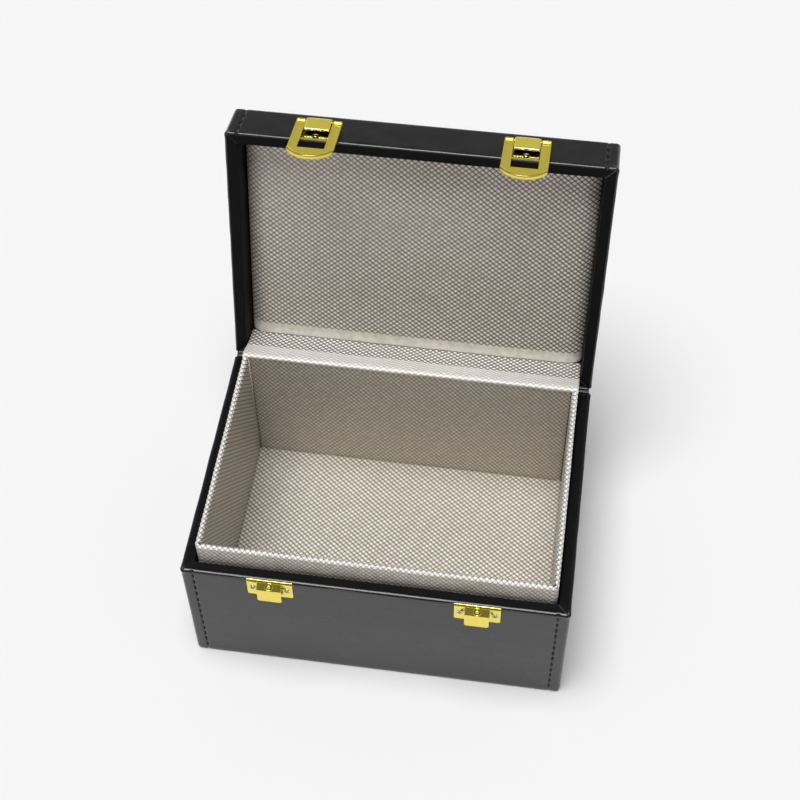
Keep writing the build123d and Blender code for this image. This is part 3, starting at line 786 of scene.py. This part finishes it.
def tray_shell():
    """The fabric wrapped round the tray's walls, inside and out."""
    height = TRAY_HIGH[2] - TRAY_LOW[2]
    half = (TRAY_HIGH[:2] - TRAY_LOW[:2]) / 2
    centre = (TRAY_HIGH[:2] + TRAY_LOW[:2]) / 2
    runs, cell_places = [], []
    corner_cells = 1.0
    start = 0.0
    for index in range(4):
        reach = half[index % 2] - TRAY_CORNER
        count = round(2 * (reach + 0.6) / CELL_SHORT)
        runs.append(np.linspace(-reach, reach, count * CELL_STEPS + 1))
        cell_places += list(start + np.linspace(0, count, count * CELL_STEPS + 1))
        start += count
        cell_places += [start + corner_cells * step / CELL_STEPS for step in range(1, CELL_STEPS)]
        start += corner_cells
    cell_places.append(start)
    stations = Stations(half, TRAY_CORNER, runs, CELL_STEPS)
    cell_u = np.array(cell_places)

    outside = height - TRAY_ROUND
    step = CELL_LONG / CELL_STEPS
    shaped = np.arange(outside - TRAY_SHOWN, outside, step)
    wall_rows = np.concatenate([[0, 0.25, 0.5], (shaped - TRAY_FOOT) / (outside - TRAY_FOOT), [1]])
    inner_length = height - TRAY_ROUND - (FLOOR_LOW[2] - TRAY_LOW[2])
    inside_rows = np.append(np.arange(0, inner_length - 0.4, step) / inner_length, 1)
    zones, inset, z, out, up, path = skin_rows(
        height, TRAY_WALL, FABRIC, FLOOR_LOW[2] - TRAY_LOW[2], TRAY_FOOT,
        round_fold(TRAY_ROUND), TRAY_ROUND, wall_rows, 2, inside_rows, 6.0,
    )
    columns = len(stations.side)
    spread = [np.repeat(values[:, None], columns, axis=1) for values in (inset, z, out, up)]
    points, normals = swept_points(stations, *spread, TRAY_INNER_CORNER)
    middle = path[zones == "top"].mean()
    cell_v = (path - middle) / CELL_LONG

    falling_depth = np.where(np.isin(zones, ("wall", "inside")), WALL_FALLING, 0.45)[:, None]
    relief = CELL_HEIGHT * diamonds(cell_u[None, :-1], cell_v[:, None], falling_depth)
    outer_fade = smooth_step(outside - TRAY_SHOWN, outside - TRAY_SHOWN + SHOWN_FADE, z)
    fade = np.where(np.isin(zones, ("top", "edge", "inside", "rim")), 1.0, outer_fade)
    fade = np.where(zones == "hidden", 0.0, fade)
    relief = relief * fade[:, None] + ripple(points, *TRAY_WAVE, 31) * fade[:, None]
    relief = relief - CELL_HEIGHT * fade[:, None]
    inner = np.isin(zones, ("edge", "inside"))[:, None]
    across_corner = np.interp(stations.corner, (0.0, 0.25, 0.5, 0.75, 1.0), (0.0, *CORNER_SLIT, 0.0))
    slit = np.where(inner, across_corner[None, :], 0)
    points = points + normals * (relief - slit * fade[:, None])[..., None]

    print_and_shade = np.ones(points.shape[:2])
    print_and_shade[np.isin(zones, ("top", "rim")), :] = RIM_PRINT
    print_and_shade[np.isin(zones, ("wall", "foot", "under")), :] = OUTSIDE_PRINT
    print_and_shade[zones == "inside", :] = INSIDE_PRINT
    # Shade is painted into each inner corner: the raised print strength widens the lines until the corner
    # is dark.
    corner_shade = np.interp(stations.corner, (0.0, 0.25, 0.5, 0.75, 1.0), (0.0, *CORNER_PAINTED_SHADE, 0.0))
    print_and_shade = print_and_shade + np.where(inner, corner_shade[None, :], 0)

    faces, corner_rows, corner_columns = swept_faces(*points.shape[:2])
    cells = list(np.stack([cell_u[corner_columns], cell_v[corner_rows]], axis=-1))
    for cap in faces[-2:]:
        cells.append(np.zeros((len(cap), 2)))
    points = points.reshape(-1, 3)
    points[:, :2] += centre
    points[:, 2] += TRAY_LOW[2]
    # The tray's rims take the paler cloth, a painted sheen.
    painted_sheen = np.append(np.isin(zones[corner_rows[:, 2]], ("rim", "top", "edge")), (False, False))
    made = piece(
        "tray_fabric", points, faces, cells,
        body="base", material=WALL_LOOK, print_and_shade=print_and_shade,
    )
    set_finishes(made, [PAINTED_SHEEN_LOOK], painted_sheen)
    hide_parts(*TRAY_LININGS)


def tray_floor():
    """The sheet of the same fabric glued to the tray's floor."""
    size = FLOOR_HIGH - FLOOR_LOW
    counts = [round(size[0] / CELL_LONG), round(size[1] / CELL_SHORT)]
    cell_u = np.linspace(0, counts[0], counts[0] * CELL_STEPS + 1)
    cell_v = np.linspace(0, counts[1], counts[1] * CELL_STEPS + 1)
    x = FLOOR_LOW[0] + size[0] * cell_u / counts[0]
    y = FLOOR_LOW[1] + size[1] * cell_v / counts[1]
    grid = np.stack(np.meshgrid(x, y), axis=-1)
    points = np.concatenate([grid, np.zeros(grid.shape[:2] + (1,))], axis=-1)
    relief = CELL_HEIGHT * diamonds(cell_u[None, :], cell_v[:, None]) + ripple(points, *FLOOR_WAVE, 37)
    points[..., 2] = FLOOR_HIGH[2] - CELL_HEIGHT + relief
    made = sheet_piece("tray_floor_fabric", points, cell_u, cell_v, FABRIC * 0.8, "base")
    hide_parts("tray_floor_lining")


def grid_normals(points):
    down = np.gradient(points, axis=0)
    along = np.gradient(points, axis=1)
    normals = np.cross(along, down)
    return normals / np.linalg.norm(normals, axis=-1)[..., None]


def sheet_piece(name, points, cell_u, cell_v, thickness, body, print_and_shade=None, material=FABRIC_LOOK):
    """A closed thin sheet: its shown face, a plain back face and its edges."""
    rows, columns = points.shape[:2]
    back = points - grid_normals(points) * thickness
    faces, front, edges = thin_faces(rows, columns)
    uv = np.stack([cell_u[front % columns], cell_v[front // columns]], axis=-1)
    cells = list(uv) + list(uv[:, ::-1])
    for first, second in edges:
        corners = np.array([second, first, first, second])
        cells.append(np.stack([cell_u[corners % columns], cell_v[corners // columns]], axis=-1))
    everything = np.concatenate([points.reshape(-1, 3), back.reshape(-1, 3)])
    shown = np.ones((rows, columns)) if print_and_shade is None else print_and_shade
    return piece(
        name, everything, faces, cells,
        body=body, material=material, print_and_shade=np.stack([shown, shown]),
    )


tray_shell()
tray_floor()

# ================================================================ lid panel
PANEL_CROWN = 0.45
PANEL_WAVE = 0.1
SIDE_ROLL = 8.0  # how far in from each edge the padding starts to roll over
TOP_ROLL = 4.0
HINGE_ROLL = 0.6
PLAIN_BAND = 4.6  # along the hinge the fabric is pulled smooth over the foam
PLAIN_FADE = 1.6
PANEL_PRINT = 1.1
PAINTED_LIGHT_SLANT = 0.15  # the lines are painted stronger towards the right end of the hinge, standing in for how light and shade fall across the panel
COVE_REACH = 4.5
COVE_RISE = 1.3
FINE_WAVE = (15, 0.03)


def padded_run(half, low_roll, high_roll, depth, cell):
    """Even stations across a padded panel that rolls over at both ends: each
    place, its share of the padding's depth and its cell number."""
    turn = np.linspace(0, math.pi / 2, 60)
    low = np.stack([-half + low_roll * (1 - np.sin(turn)), depth * np.cos(turn)], axis=1)
    high = np.stack([half - high_roll * (1 - np.sin(turn)), depth * np.cos(turn)], axis=1)
    profile = np.concatenate([low[::-1], high])
    lengths = np.concatenate([[0], np.cumsum(np.linalg.norm(np.diff(profile, axis=0), axis=1))])
    count = round(lengths[-1] / cell)
    even = np.linspace(0, lengths[-1], count * PANEL_STEPS + 1)
    place, height = (np.interp(even, lengths, profile[:, axis]) for axis in (0, 1))
    return place, height / depth, even / lengths[-1] * count


def lid_panel():
    """The padded panel that fills the lid."""
    half = (PANEL_HIGH[:2] - PANEL_LOW[:2]) / 2
    centre = (PANEL_HIGH[:2] + PANEL_LOW[:2]) / 2
    depth = PANEL_HIGH[2] - PANEL_LOW[2]
    x, rise_x, cell_u = padded_run(half[0], SIDE_ROLL, SIDE_ROLL, depth, CELL_LONG)
    y, rise_y, cell_v = padded_run(half[1], TOP_ROLL, HINGE_ROLL, depth, CELL_SHORT)
    flat_x = np.clip(x, SIDE_ROLL - half[0], half[0] - SIDE_ROLL)
    flat_y = np.clip(y, TOP_ROLL - half[1], half[1] - HINGE_ROLL)
    points = np.zeros((len(y), len(x), 3))
    points[..., 0] = flat_x + (x - flat_x) * np.sqrt((1 + rise_y[:, None] ** 2) / 2)
    points[..., 1] = flat_y[:, None] + (y - flat_y)[:, None] * np.sqrt((1 + rise_x**2) / 2)
    drop = 1 - rise_x * rise_y[:, None]
    share = np.clip(np.abs(points[..., :2]) / half, 0, 1)
    crown = PANEL_CROWN * (1 - share[..., 0] ** 4) * (1 - share[..., 1] ** 4)
    wave = ripples(points, ((38, PANEL_WAVE), FINE_WAVE), 41)
    cove = COVE_RISE * np.clip((points[..., 1] - half[1] + COVE_REACH) / COVE_REACH, 0, 1) ** 2
    points[..., 2] = depth * drop - (crown + wave + cove) * (1 - drop)
    normals = -grid_normals(points)
    relief = CELL_HEIGHT * (diamonds(cell_u[None, :], cell_v[:, None]) - 0.7)
    fade = 1 - smooth_step(0.75, 1, drop)
    print_and_shade = 1 - smooth_step(half[1] - PLAIN_BAND - PLAIN_FADE, half[1] - PLAIN_BAND, points[..., 1])
    points = points + normals * (relief * fade * print_and_shade)[..., None]
    cell_u = -cell_u
    # A slant in line strength across the panel: painted light and shade.
    print_and_shade = print_and_shade * (PANEL_PRINT + PAINTED_LIGHT_SLANT * (points[..., 0] / half[0] + points[..., 1] / half[1]))
    points[..., :2] += centre
    points[..., 2] += PANEL_LOW[2]
    rows, columns = points.shape[:2]
    corner_rows, corner_columns = grid_corners(rows, columns, False)
    faces = (corner_rows * columns + corner_columns).tolist()
    cells = list(np.stack([cell_u[corner_columns], cell_v[corner_rows]], axis=-1))
    rim = rim_loop(rows, columns)
    points = points.reshape(-1, 3)
    back = points[rim]
    back[:, 2] = PANEL_HIGH[2]
    start = len(points)
    for index, corner in enumerate(rim):
        after = (index + 1) % len(rim)
        faces.append([rim[after], corner, start + index, start + after])
        ends = [(cell_u[place % columns], cell_v[place // columns]) for place in (rim[after], corner)]
        cells.append(np.array(ends + ends[::-1]))
    faces.append(list(range(start, start + len(rim)))[::-1])
    cells.append(np.zeros((len(rim), 2)))
    points = np.concatenate([points, back])
    print_and_shade = np.concatenate([print_and_shade.ravel(), print_and_shade.ravel()[rim]])
    made = piece(
        "lid_panel", opened(points), faces, cells,
        body="lid", material=FABRIC_LOOK, flip=True, print_and_shade=print_and_shade,
    )
    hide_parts("panel_cushion")


lid_panel()

# ================================================================ hinge
HINGE_INSET = 0.9
STRIP_WAVE = (22, 0.08)
PLEAT_WAVE = (12, 0.07)
PLEATS = [  # the folded leather's section: along the line between the rims, and outwards
    (-2.3, -1.3), (-2.1, 0.2), (-1.9, 1.1), (-1.45, 1.35), (-0.85, 1.8), (-0.35, 1.55), (0.0, 1.15),
    (0.35, 1.55), (0.85, 1.8), (1.45, 1.35), (1.9, 1.1), (2.1, 0.2), (2.3, -1.3),
    (1.2, -1.25), (0.3, -0.75), (0, -0.65), (-0.3, -0.75), (-1.2, -1.25),
]
PLEAT_STEP = 0.22
PLEAT_END = 0.5  # the fold's ends narrow over this length
PLEAT_NARROW = 0.8  # down to this share
STRIP_LIFT = 0.55  # the strip lies on the tray's back rim
STRIP_GAP = 0.12  # between the strip and the tray's inner face
STRIP_TUCK = 1.1  # how far it reaches down inside the tray
STRIP_TURN = 0.4  # half the length over which its print changes
LID_EDGE_OUT = (0.1, 0.45)  # how far it passes the lid lining's edge
LID_EDGE_IN = 0.8
PANEL_TUCK = 0.6  # how far it reaches behind the panel
STRIP_PRINT = 0.6
LINING_PRINT = 1.6


def rounded_path(corners, step, passes=3):
    """A path through corners whose bends are cut round, in even steps."""
    path = np.array(corners, float)
    for _ in range(passes):
        ahead = path[:-1] * 0.75 + path[1:] * 0.25
        behind = path[:-1] * 0.25 + path[1:] * 0.75
        middle = np.stack([ahead, behind], axis=1).reshape(-1, path.shape[1])
        path = np.concatenate([path[:1], middle, path[-1:]])
    lengths = np.concatenate([[0], np.cumsum(np.linalg.norm(np.diff(path, axis=0), axis=1))])
    count = max(round(lengths[-1] / step), 2)
    even = np.linspace(0, lengths[-1], count + 1)
    return np.stack([np.interp(even, lengths, places) for places in path.T], axis=1)


def side_point(y, z):
    """A closed-lid point of the side view, where it is at rest."""
    return opened(np.array([[0, y, z]]))[0][1:]


def hinge_fabric():
    """One strip of fabric from the tray's back rim up the inside of the lid."""
    lid_edge = side_point(LINING_LOW[1] - LID_EDGE_OUT[0], LINING_LOW[2] - LID_EDGE_OUT[1])
    lid_far = side_point(LINING_LOW[1], LINING_LOW[2] + LID_EDGE_IN)
    lid_end = side_point(LINING_LOW[1], PANEL_LOW[2] + PANEL_TUCK)
    inner = TRAY_HIGH[1] - TRAY_WALL - STRIP_GAP
    start = (inner, TRAY_HIGH[2] - STRIP_TUCK)
    fold = (inner, TRAY_HIGH[2] + STRIP_LIFT)
    edge = (TRAY_HIGH[1] + 0.1, TRAY_HIGH[2] + STRIP_LIFT)
    path = rounded_path([start, fold, edge, lid_edge, lid_far, lid_end], CELL_SHORT / CELL_STEPS)
    length = np.linalg.norm(np.diff(path, axis=0), axis=1).sum()
    half = PANEL_HIGH[0] - 0.1
    count = round(2 * half / CELL_LONG)
    cell_u = np.linspace(0, count, count * CELL_STEPS + 1)
    cell_v = np.linspace(0, length / CELL_SHORT, len(path))
    x = np.linspace(-half, half, len(cell_u))
    points = np.zeros((len(path), len(x), 3))
    points[..., 0] = x[None, :]
    points[..., 1:] = path[:, None, :]
    normals = grid_normals(points)
    relief = CELL_HEIGHT * (diamonds(cell_u[None, :], cell_v[:, None]) - 0.5)
    points = points + normals * (relief + ripple(points, *STRIP_WAVE, 53))[..., None]
    on_lid = smooth_step(lid_edge[0] - STRIP_TURN, lid_edge[0] + STRIP_TURN, path[:, 0])
    print_and_shade = STRIP_PRINT + (LINING_PRINT - STRIP_PRINT) * on_lid
    print_and_shade = np.repeat(print_and_shade[:, None], len(x), axis=1)
    # The strip takes the paler cloth, a painted sheen.
    made = sheet_piece("hinge_fabric", points, -cell_u, cell_v, FABRIC, None, print_and_shade, PAINTED_SHEEN_LOOK)
    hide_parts("hinge_lining", "lid_back_lining")
    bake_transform(made)


def hinge_roll():
    """The back's leather, folded into two soft pleats between the rims."""
    base_centre = np.array((HINGE_Y - HINGE_ROUND, BASE_HIGH[2] - HINGE_ROUND))
    lid_centre = side_point(HINGE_Y - HINGE_ROUND, LID_LOW[2] + HINGE_ROUND)
    middle = (base_centre + lid_centre) / 2
    across = (lid_centre - base_centre) / np.linalg.norm(lid_centre - base_centre)
    outward = np.array((-across[1], across[0]))
    path = rounded_path(PLEATS + PLEATS[:1], PLEAT_STEP, passes=2)[:-1]
    half = BASE_HIGH[0] - HINGE_INSET
    x = graded(-half, half, 2.5, 0.3, [-half, half], 1.5)
    end_fade = np.clip((half - np.abs(x)) / PLEAT_END, 0, 1)
    shrink = PLEAT_NARROW + (1 - PLEAT_NARROW) * np.sqrt(1 - (1 - end_fade) ** 2)
    section = path[None, :, :] * shrink[:, None, None]
    points = np.zeros((len(x), len(path), 3))
    points[..., 0] = x[:, None]
    points[..., 1:] = middle + section[..., :1] * across + section[..., 1:] * outward
    lift = ripple(points, *PLEAT_WAVE, 61) * (section[..., 1] > 0.5)
    points[..., 1:] += lift[..., None] * outward
    faces = swept_faces(*points.shape[:2])[0]
    made = piece("hinge_leather_fold", points.reshape(-1, 3), faces, material=LEATHER_LOOK)
    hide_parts("hinge_leather")
    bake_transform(made)


hinge_fabric()
hinge_roll()


# ================================================================ carried-over nodes
def dressed(node, material, bevel=0.0):
    """A CAD node that keeps its shape, with a finish and eased edges."""
    target = frame["nodes"][node]
    target.data.materials.clear()
    target.data.materials.append(material)
    target.data.shade_smooth()
    if bevel:
        weld = target.modifiers.new("weld", "WELD")
        weld.merge_threshold = 0.002 * MM
        flat = target.modifiers.new("flat", "DECIMATE")
        flat.decimate_type = "DISSOLVE"
        flat.angle_limit = math.radians(0.5)
        ease = target.modifiers.new("ease", "BEVEL")
        ease.width = bevel * MM
        ease.segments = EASED_STEPS
        ease.limit_method = "ANGLE"
        ease.angle_limit = SHARP_EDGE
        level = target.modifiers.new("level", "WEIGHTED_NORMAL")
        level.weight = 100


HEAD_AROUND = 48
RIVET_BANDS = (0.55, 0.9)  # a dome in the paler gold as a painted highlight, a groove in the dark gold as painted shade, and a gold ring
RIVET_PROFILE = (  # share of the radius and height in millimetres, from the middle out
    (0.0, 0.8), (0.2, 0.77), (0.36, 0.68), (0.5, 0.52), (0.58, 0.28), (0.61, 0.0), (0.64, -0.12),
    (0.78, -0.14), (0.82, 0.02), (0.86, 0.24), (0.94, 0.34), (1.06, 0.34), (1.14, 0.24), (1.18, 0.0),
    (1.18, -0.05),
)
DOME_PROFILE = (
    (0.0, 0.75), (0.25, 0.73), (0.45, 0.68), (0.6, 0.58), (0.72, 0.44), (0.8, 0.26), (0.84, 0.06),
    (0.87, -0.04), (1.0, -0.05),
)
SCREW_PROFILE = (
    (0.0, 0.5), (0.1, 0.5), (0.2, 0.5), (0.3, 0.49), (0.4, 0.48), (0.5, 0.46), (0.6, 0.42),
    (0.7, 0.36), (0.8, 0.28), (0.88, 0.16), (0.92, 0.0), (0.95, -0.12), (1.04, -0.12), (1.08, 0.02),
    (1.14, 0.06), (1.2, 0.0), (1.2, -0.05),
)
SCREW_RISE = 0.5
RIVET_RISE = 0.7
CROSS_HALF = 0.27  # of a screw's slots
CROSS_REACH = 1.15
CROSS_DEPTH = 0.4
CROSS_TURN = math.radians(28)
TAB_OUT = 3.5  # the slope of a catch's tab
TAB_DROP = 2.9
EASED_EDGE = 0.14
LOOP_EASED = 0.2
EASED_STEPS = 3
SHARP_EDGE = math.radians(28)  # edges sharper than this are eased
FLAP_SKIN = 0.12  # how far a flap's lacquered face stands off its sheet
FLAP_CROWN = 0.18  # how much its face swells in the middle
FLAP_SHEET = 0.56  # how far behind the roll's face the flap's sheet may start
FLAP_LAP = 0.6  # the face turns in under the flap's foot by this much
FLAP_ROWS = 12
FLAP_COLUMNS = 25
SWELL_RISE = 1.5  # above the foot, where the swelling is full
LIP_RISE = 0.71  # of the lip above its bar


def head_seats(node, axis, rise):
    """Seat centre and radius of each separate head of a node."""
    everything = node_points(node)
    everything = everything[np.argsort(everything[:, 0])]
    for head in np.split(everything, np.nonzero(np.diff(everything[:, 0]) > 1.0)[0] + 1):
        middle = head.mean(axis=0)
        along = (head - middle) @ axis
        radial = head - middle - np.outer(along, axis)
        yield middle + axis * (along.max() - rise), np.linalg.norm(radial, axis=1).max()


def turned_heads(name, node, body, outward, rise, profile, cross, material, bands=()):
    """Turned heads of a given rise where a node has them, plain or with a cross cut in."""
    axis = np.array(outward, float)
    axis /= np.linalg.norm(axis)
    side = np.array((1.0, 0.0, 0.0))
    other = np.cross(axis, side)
    turn = np.linspace(0, 2 * math.pi, HEAD_AROUND, endpoint=False)
    shares, rises = np.array(profile[1:]).T
    points, faces, finishes = [], [], []
    for index, (seat, radius) in enumerate(head_seats(node, axis, rise)):
        across = np.outer(shares, np.cos(turn)) * radius
        along = np.outer(shares, np.sin(turn)) * radius
        lift = np.repeat(rises[:, None], HEAD_AROUND, axis=1)
        if cross:
            angle = CROSS_TURN * (1 + index)
            first = np.abs(across * math.cos(angle) + along * math.sin(angle))
            second = np.abs(along * math.cos(angle) - across * math.sin(angle))
            slot = np.minimum(first, second) < CROSS_HALF
            slot &= np.maximum(first, second) < CROSS_REACH
            lift = lift - CROSS_DEPTH * slot
        start = sum(len(part) for part in points)
        placed = seat + across[..., None] * side + along[..., None] * other + lift[..., None] * axis
        points.append(placed.reshape(-1, 3))
        corner_rows, corner_columns = grid_corners(len(shares), HEAD_AROUND, True)
        rings = corner_rows * HEAD_AROUND + corner_columns % HEAD_AROUND
        faces += (rings[:, ::-1] + start).tolist()
        # The grooves of banded heads and the cross slots take the dark gold, painted shade.
        if bands:
            band = np.searchsorted(bands, shares[corner_rows[:, 2]], side="left")
        elif cross:
            band = slot[corner_rows, corner_columns % HEAD_AROUND].any(axis=1).astype(int)
        else:
            band = np.zeros(len(rings), int)
        finishes += [*band.tolist(), int(bool(cross)), 0]
        faces.append(list(range(start, start + HEAD_AROUND)))
        last = start + (len(shares) - 1) * HEAD_AROUND
        faces.append(list(range(last, last + HEAD_AROUND))[::-1])
    made = piece(name, np.concatenate(points), faces, body=body, material=material)
    set_finishes(made, [SHADED_LOOK, GOLD_LOOK], finishes)
    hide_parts(node)


def flap_skin(side):
    """The slightly swelling outer face of a latch's flap, and the roll above it."""
    everything = closed(node_points(side + "_latch_plate"))
    low, high = span(everything)
    upper = everything[everything[:, 2] > high[2] - 1.0]
    centre_x = (low[0] + high[0]) / 2
    half = (upper[:, 0].max() - upper[:, 0].min()) / 2
    roll_out = upper[:, 1].min()
    within = np.abs(everything[:, 0] - centre_x) < half + 0.01
    leaned = everything[within & (everything[:, 1] < roll_out + FLAP_SHEET)]
    foot_z = leaned[:, 2].min()
    foot_y = leaned[leaned[:, 2] < foot_z + 0.01][:, 1].min()
    pivot_z = sum(span(closed(node_points(side + "_latch_pin"))[:, 2])) / 2
    roll_radius = high[2] - pivot_z
    turn = np.linspace(0, math.pi / 2, 8)
    side_view = [
        (foot_y + FLAP_LAP, foot_z - FLAP_SKIN),
        (foot_y, foot_z - FLAP_SKIN),
        (foot_y - FLAP_SKIN, foot_z + 0.1),
    ]
    share = np.linspace(0.08, 1, FLAP_ROWS)
    face_y = foot_y - FLAP_SKIN + (roll_out - foot_y) * share
    face_z = foot_z + (pivot_z - foot_z) * share
    side_view += list(zip(face_y, face_z))
    for angle in turn[1:]:
        y = roll_out - FLAP_SKIN + roll_radius * (1 - math.cos(angle))
        side_view.append((y, pivot_z + (roll_radius + FLAP_SKIN) * math.sin(angle)))
    side_view = np.array(side_view)
    across = np.linspace(-1, 1, FLAP_COLUMNS)
    points = np.zeros((len(side_view), len(across), 3))
    points[..., 0] = centre_x + (half + FLAP_SKIN) * across
    swell = np.interp(side_view[:, 1], (foot_z, foot_z + SWELL_RISE, pivot_z), (0.3, 1, 0.6))
    points[..., 1] = side_view[:, :1] - FLAP_CROWN * (1 - across**4) * swell[:, None]
    points[..., 2] = side_view[:, 1:] + FLAP_CROWN * (1 - across**2) * (side_view[:, 1:] > pivot_z)
    back = points + np.array((0, FLAP_SKIN, 0))
    faces = thin_faces(*points.shape[:2])[0]
    everything = opened(np.concatenate([points.reshape(-1, 3), back.reshape(-1, 3)]))
    made = piece(side + "_flap_face", everything, faces, body="lid", material=FLAP_LOOK)
    # The first two rows, round the flap's foot, are painted pale as a highlight.
    set_finishes(made, [PALE_BRASS_AND_HIGHLIGHT_LOOK], np.arange(len(faces)) < 2 * (FLAP_COLUMNS - 1))


LIP_PROFILE = (  # of a loop's turned-out lip: inwards from its edge, and out from its bar
    (1.7, -0.1), (1.5, 0.07), (1.25, 0.15), (1.02, 0.28), (0.86, 0.46), (0.8, 0.62),
    (0.68, 0.74), (0.5, 0.82), (0.3, 0.8), (0.12, 0.7), (0.0, 0.5), (-0.06, 0.25),
    (-0.08, -0.1), (-0.08, -0.6), (-0.02, -0.85), (0.12, -0.95), (0.5, -0.5), (1.2, -0.3),
)
LIP_BANDS = (3, 8, 11)  # its fillet, then a bead painted pale as a highlight, a line painted dark as shade, and its outer face in the paler gold as painted light
LIP_DROP = 8.0  # a loop's lowest part, which holds its lip


def loop_lip(side):
    """The polished lip turned out along a loop's lower edge."""
    everything = closed(node_points(side + "_latch_loop"))
    low, high = span(everything)
    centre_x = (low[0] + high[0]) / 2
    bottom = everything[everything[:, 2] < low[2] + LIP_DROP]
    ends = bottom[np.abs(bottom[:, 0] - centre_x) > (high[0] - low[0]) / 2 - 0.02]
    half = (high[0] - low[0]) / 2
    sagitta = ends[:, 2].min() - low[2]
    radius = (half**2 + sagitta**2) / (2 * sagitta)
    sweep = np.linspace(-1, 1, 41) * math.asin(half / radius)
    bar_out = low[1] + LIP_RISE
    inwards, rise = np.array(LIP_PROFILE).T
    reach = radius - inwards[None, :]
    points = np.zeros((len(sweep), len(rise), 3))
    points[..., 0] = centre_x + reach * np.sin(sweep)[:, None]
    points[..., 1] = bar_out - rise[None, :]
    points[..., 2] = low[2] + radius - reach * np.cos(sweep)[:, None]
    points[..., 0] = np.clip(points[..., 0], low[0] - 0.08, high[0] + 0.08)
    faces, _, corner_columns = swept_faces(len(sweep), len(rise))
    made = piece(
        side + "_loop_lip", opened(points.reshape(-1, 3)), faces,
        body=side + "_loop", material=POLISHED_LOOK,
    )
    # The bead is painted pale as a highlight and the line below it dark as shade.
    band = np.append(np.searchsorted(LIP_BANDS, corner_columns[:, 0], side="right"), (0, 0))
    set_finishes(made, [PALE_BRASS_AND_HIGHLIGHT_LOOK, SHADED_LOOK, FLAP_LOOK], band)


FRONT_OUT = (0, -1, 0)
LID_OUT = opened(np.array([FRONT_OUT], float))[0] - opened(np.zeros((1, 3)))[0]
SLOPE_OUT = (0, -TAB_DROP, TAB_OUT)
SCREW_HEAD = (SCREW_RISE, SCREW_PROFILE, True, PALE_BRASS_AND_HIGHLIGHT_LOOK)
CATCH_RIVET_HEAD = (RIVET_RISE, RIVET_PROFILE, False, FLAP_LOOK, RIVET_BANDS)
# The latch rivets are painted dark gold as shade, in the hollow under the flaps.
LATCH_RIVET_HEAD = (RIVET_RISE, DOME_PROFILE, False, SHADED_LOOK)
turned_heads("catch_screw_heads", "catch_screws", "base", FRONT_OUT, *SCREW_HEAD)
turned_heads("latch_screw_heads", "latch_screws", "lid", LID_OUT, *SCREW_HEAD)
turned_heads("catch_rivet_heads", "catch_rivets", "base", SLOPE_OUT, *CATCH_RIVET_HEAD)
turned_heads("latch_rivet_heads", "latch_rivets", "lid", LID_OUT, *LATCH_RIVET_HEAD)
for side in ("left", "right"):
    flap_skin(side)
    loop_lip(side)
    dressed(side + "_catch_plate", GOLD_LOOK, EASED_EDGE)
    # The latch plates are painted dark gold as shade, for the hollows behind the flaps and loops.
    dressed(side + "_latch_plate", SHADED_LOOK, EASED_EDGE)
    dressed(side + "_latch_loop", LATCH_LOOK, LOOP_EASED)
    dressed(side + "_latch_pin", LATCH_LOOK)
for node_name in frame["nodes"]:
    if "_board" in node_name:
        dressed(node_name, BOARD_LOOK)


# ================================================================ floor, light and camera
FLOOR_GREY = 0.87
FLOOR_HALF = 4000
SOFTBOX_STRENGTH = 2.95
SOFTBOX_ANGLE = 36  # degrees across the sky
SOFTBOX_FROM = (-0.1, -0.12, 1.0)


def stage_floor():
    material, _, shader = new_material("floor")
    shader.inputs["Base Color"].default_value = (FLOOR_GREY, FLOOR_GREY, FLOOR_GREY, 1)
    shader.inputs["Roughness"].default_value = 0.9
    shader.inputs["Specular IOR Level"].default_value = 0.0
    ends = ((-1, -1, 0), (1, -1, 0), (1, 1, 0), (-1, 1, 0))
    points = np.array(ends, float) * FLOOR_HALF
    floor = piece("floor", points, [[0, 1, 2, 3]], material=material)


def studio_world():
    """A plain studio: bright low down, darker overhead."""
    world = bpy.data.worlds.new("studio")
    bpy.context.scene.world = world
    world.use_nodes = True
    tree = world.node_tree
    background = next(node for node in tree.nodes if node.type == "BACKGROUND")
    direction = add_node(tree, "ShaderNodeTexCoord").outputs["Generated"]
    split = add_node(tree, "ShaderNodeSeparateXYZ")
    tree.links.new(direction, split.inputs[0])
    stops = (
        (0.0, 0.93),
        (math.sin(math.radians(4)), 0.8),
        (math.sin(math.radians(10)), 0.38),
        (math.sin(math.radians(18)), 0.14),
        (1.0, 0.11),
    )
    colour = ramp_node(tree, split.outputs["Z"], stops)
    tree.links.new(colour, background.inputs["Color"])
    background.inputs["Strength"].default_value = 1.0


def softbox(name, strength, angle, direction):
    """A large soft source a long way off."""
    light = bpy.data.lights.new(name, "SUN")
    light.energy = strength
    light.angle = math.radians(angle)
    lamp = bpy.data.objects.new(name, light)
    bpy.context.scene.collection.objects.link(lamp)
    lamp.rotation_mode = "QUATERNION"
    lamp.rotation_quaternion = Vector(direction).to_track_quat("Z", "Y")


CAMERA_PLACE = Vector((0.06420, -0.38693, 0.65194))
CAMERA_FORWARD = Vector((-0.09242, 0.59039, -0.80181)).normalized()
CAMERA_UP = Vector((-0.10713, 0.79469, 0.59749))
CAMERA_LENS = 71.97


def place_camera():
    data = bpy.data.cameras.new("camera")
    data.sensor_width = 36
    data.lens = CAMERA_LENS
    data.clip_start = 0.01
    data.clip_end = 50
    camera = bpy.data.objects.new("camera", data)
    bpy.context.scene.collection.objects.link(camera)
    right = CAMERA_FORWARD.cross(CAMERA_UP).normalized()
    up = right.cross(CAMERA_FORWARD)
    turn = Matrix((right, up, -CAMERA_FORWARD)).transposed()
    camera.matrix_world = Matrix.Translation(CAMERA_PLACE) @ turn.to_4x4()
    bpy.context.scene.camera = camera


stage_floor()
studio_world()
softbox("overhead_softbox", SOFTBOX_STRENGTH, SOFTBOX_ANGLE, SOFTBOX_FROM)
place_camera()
bpy.context.scene.view_settings.view_transform = "Standard"
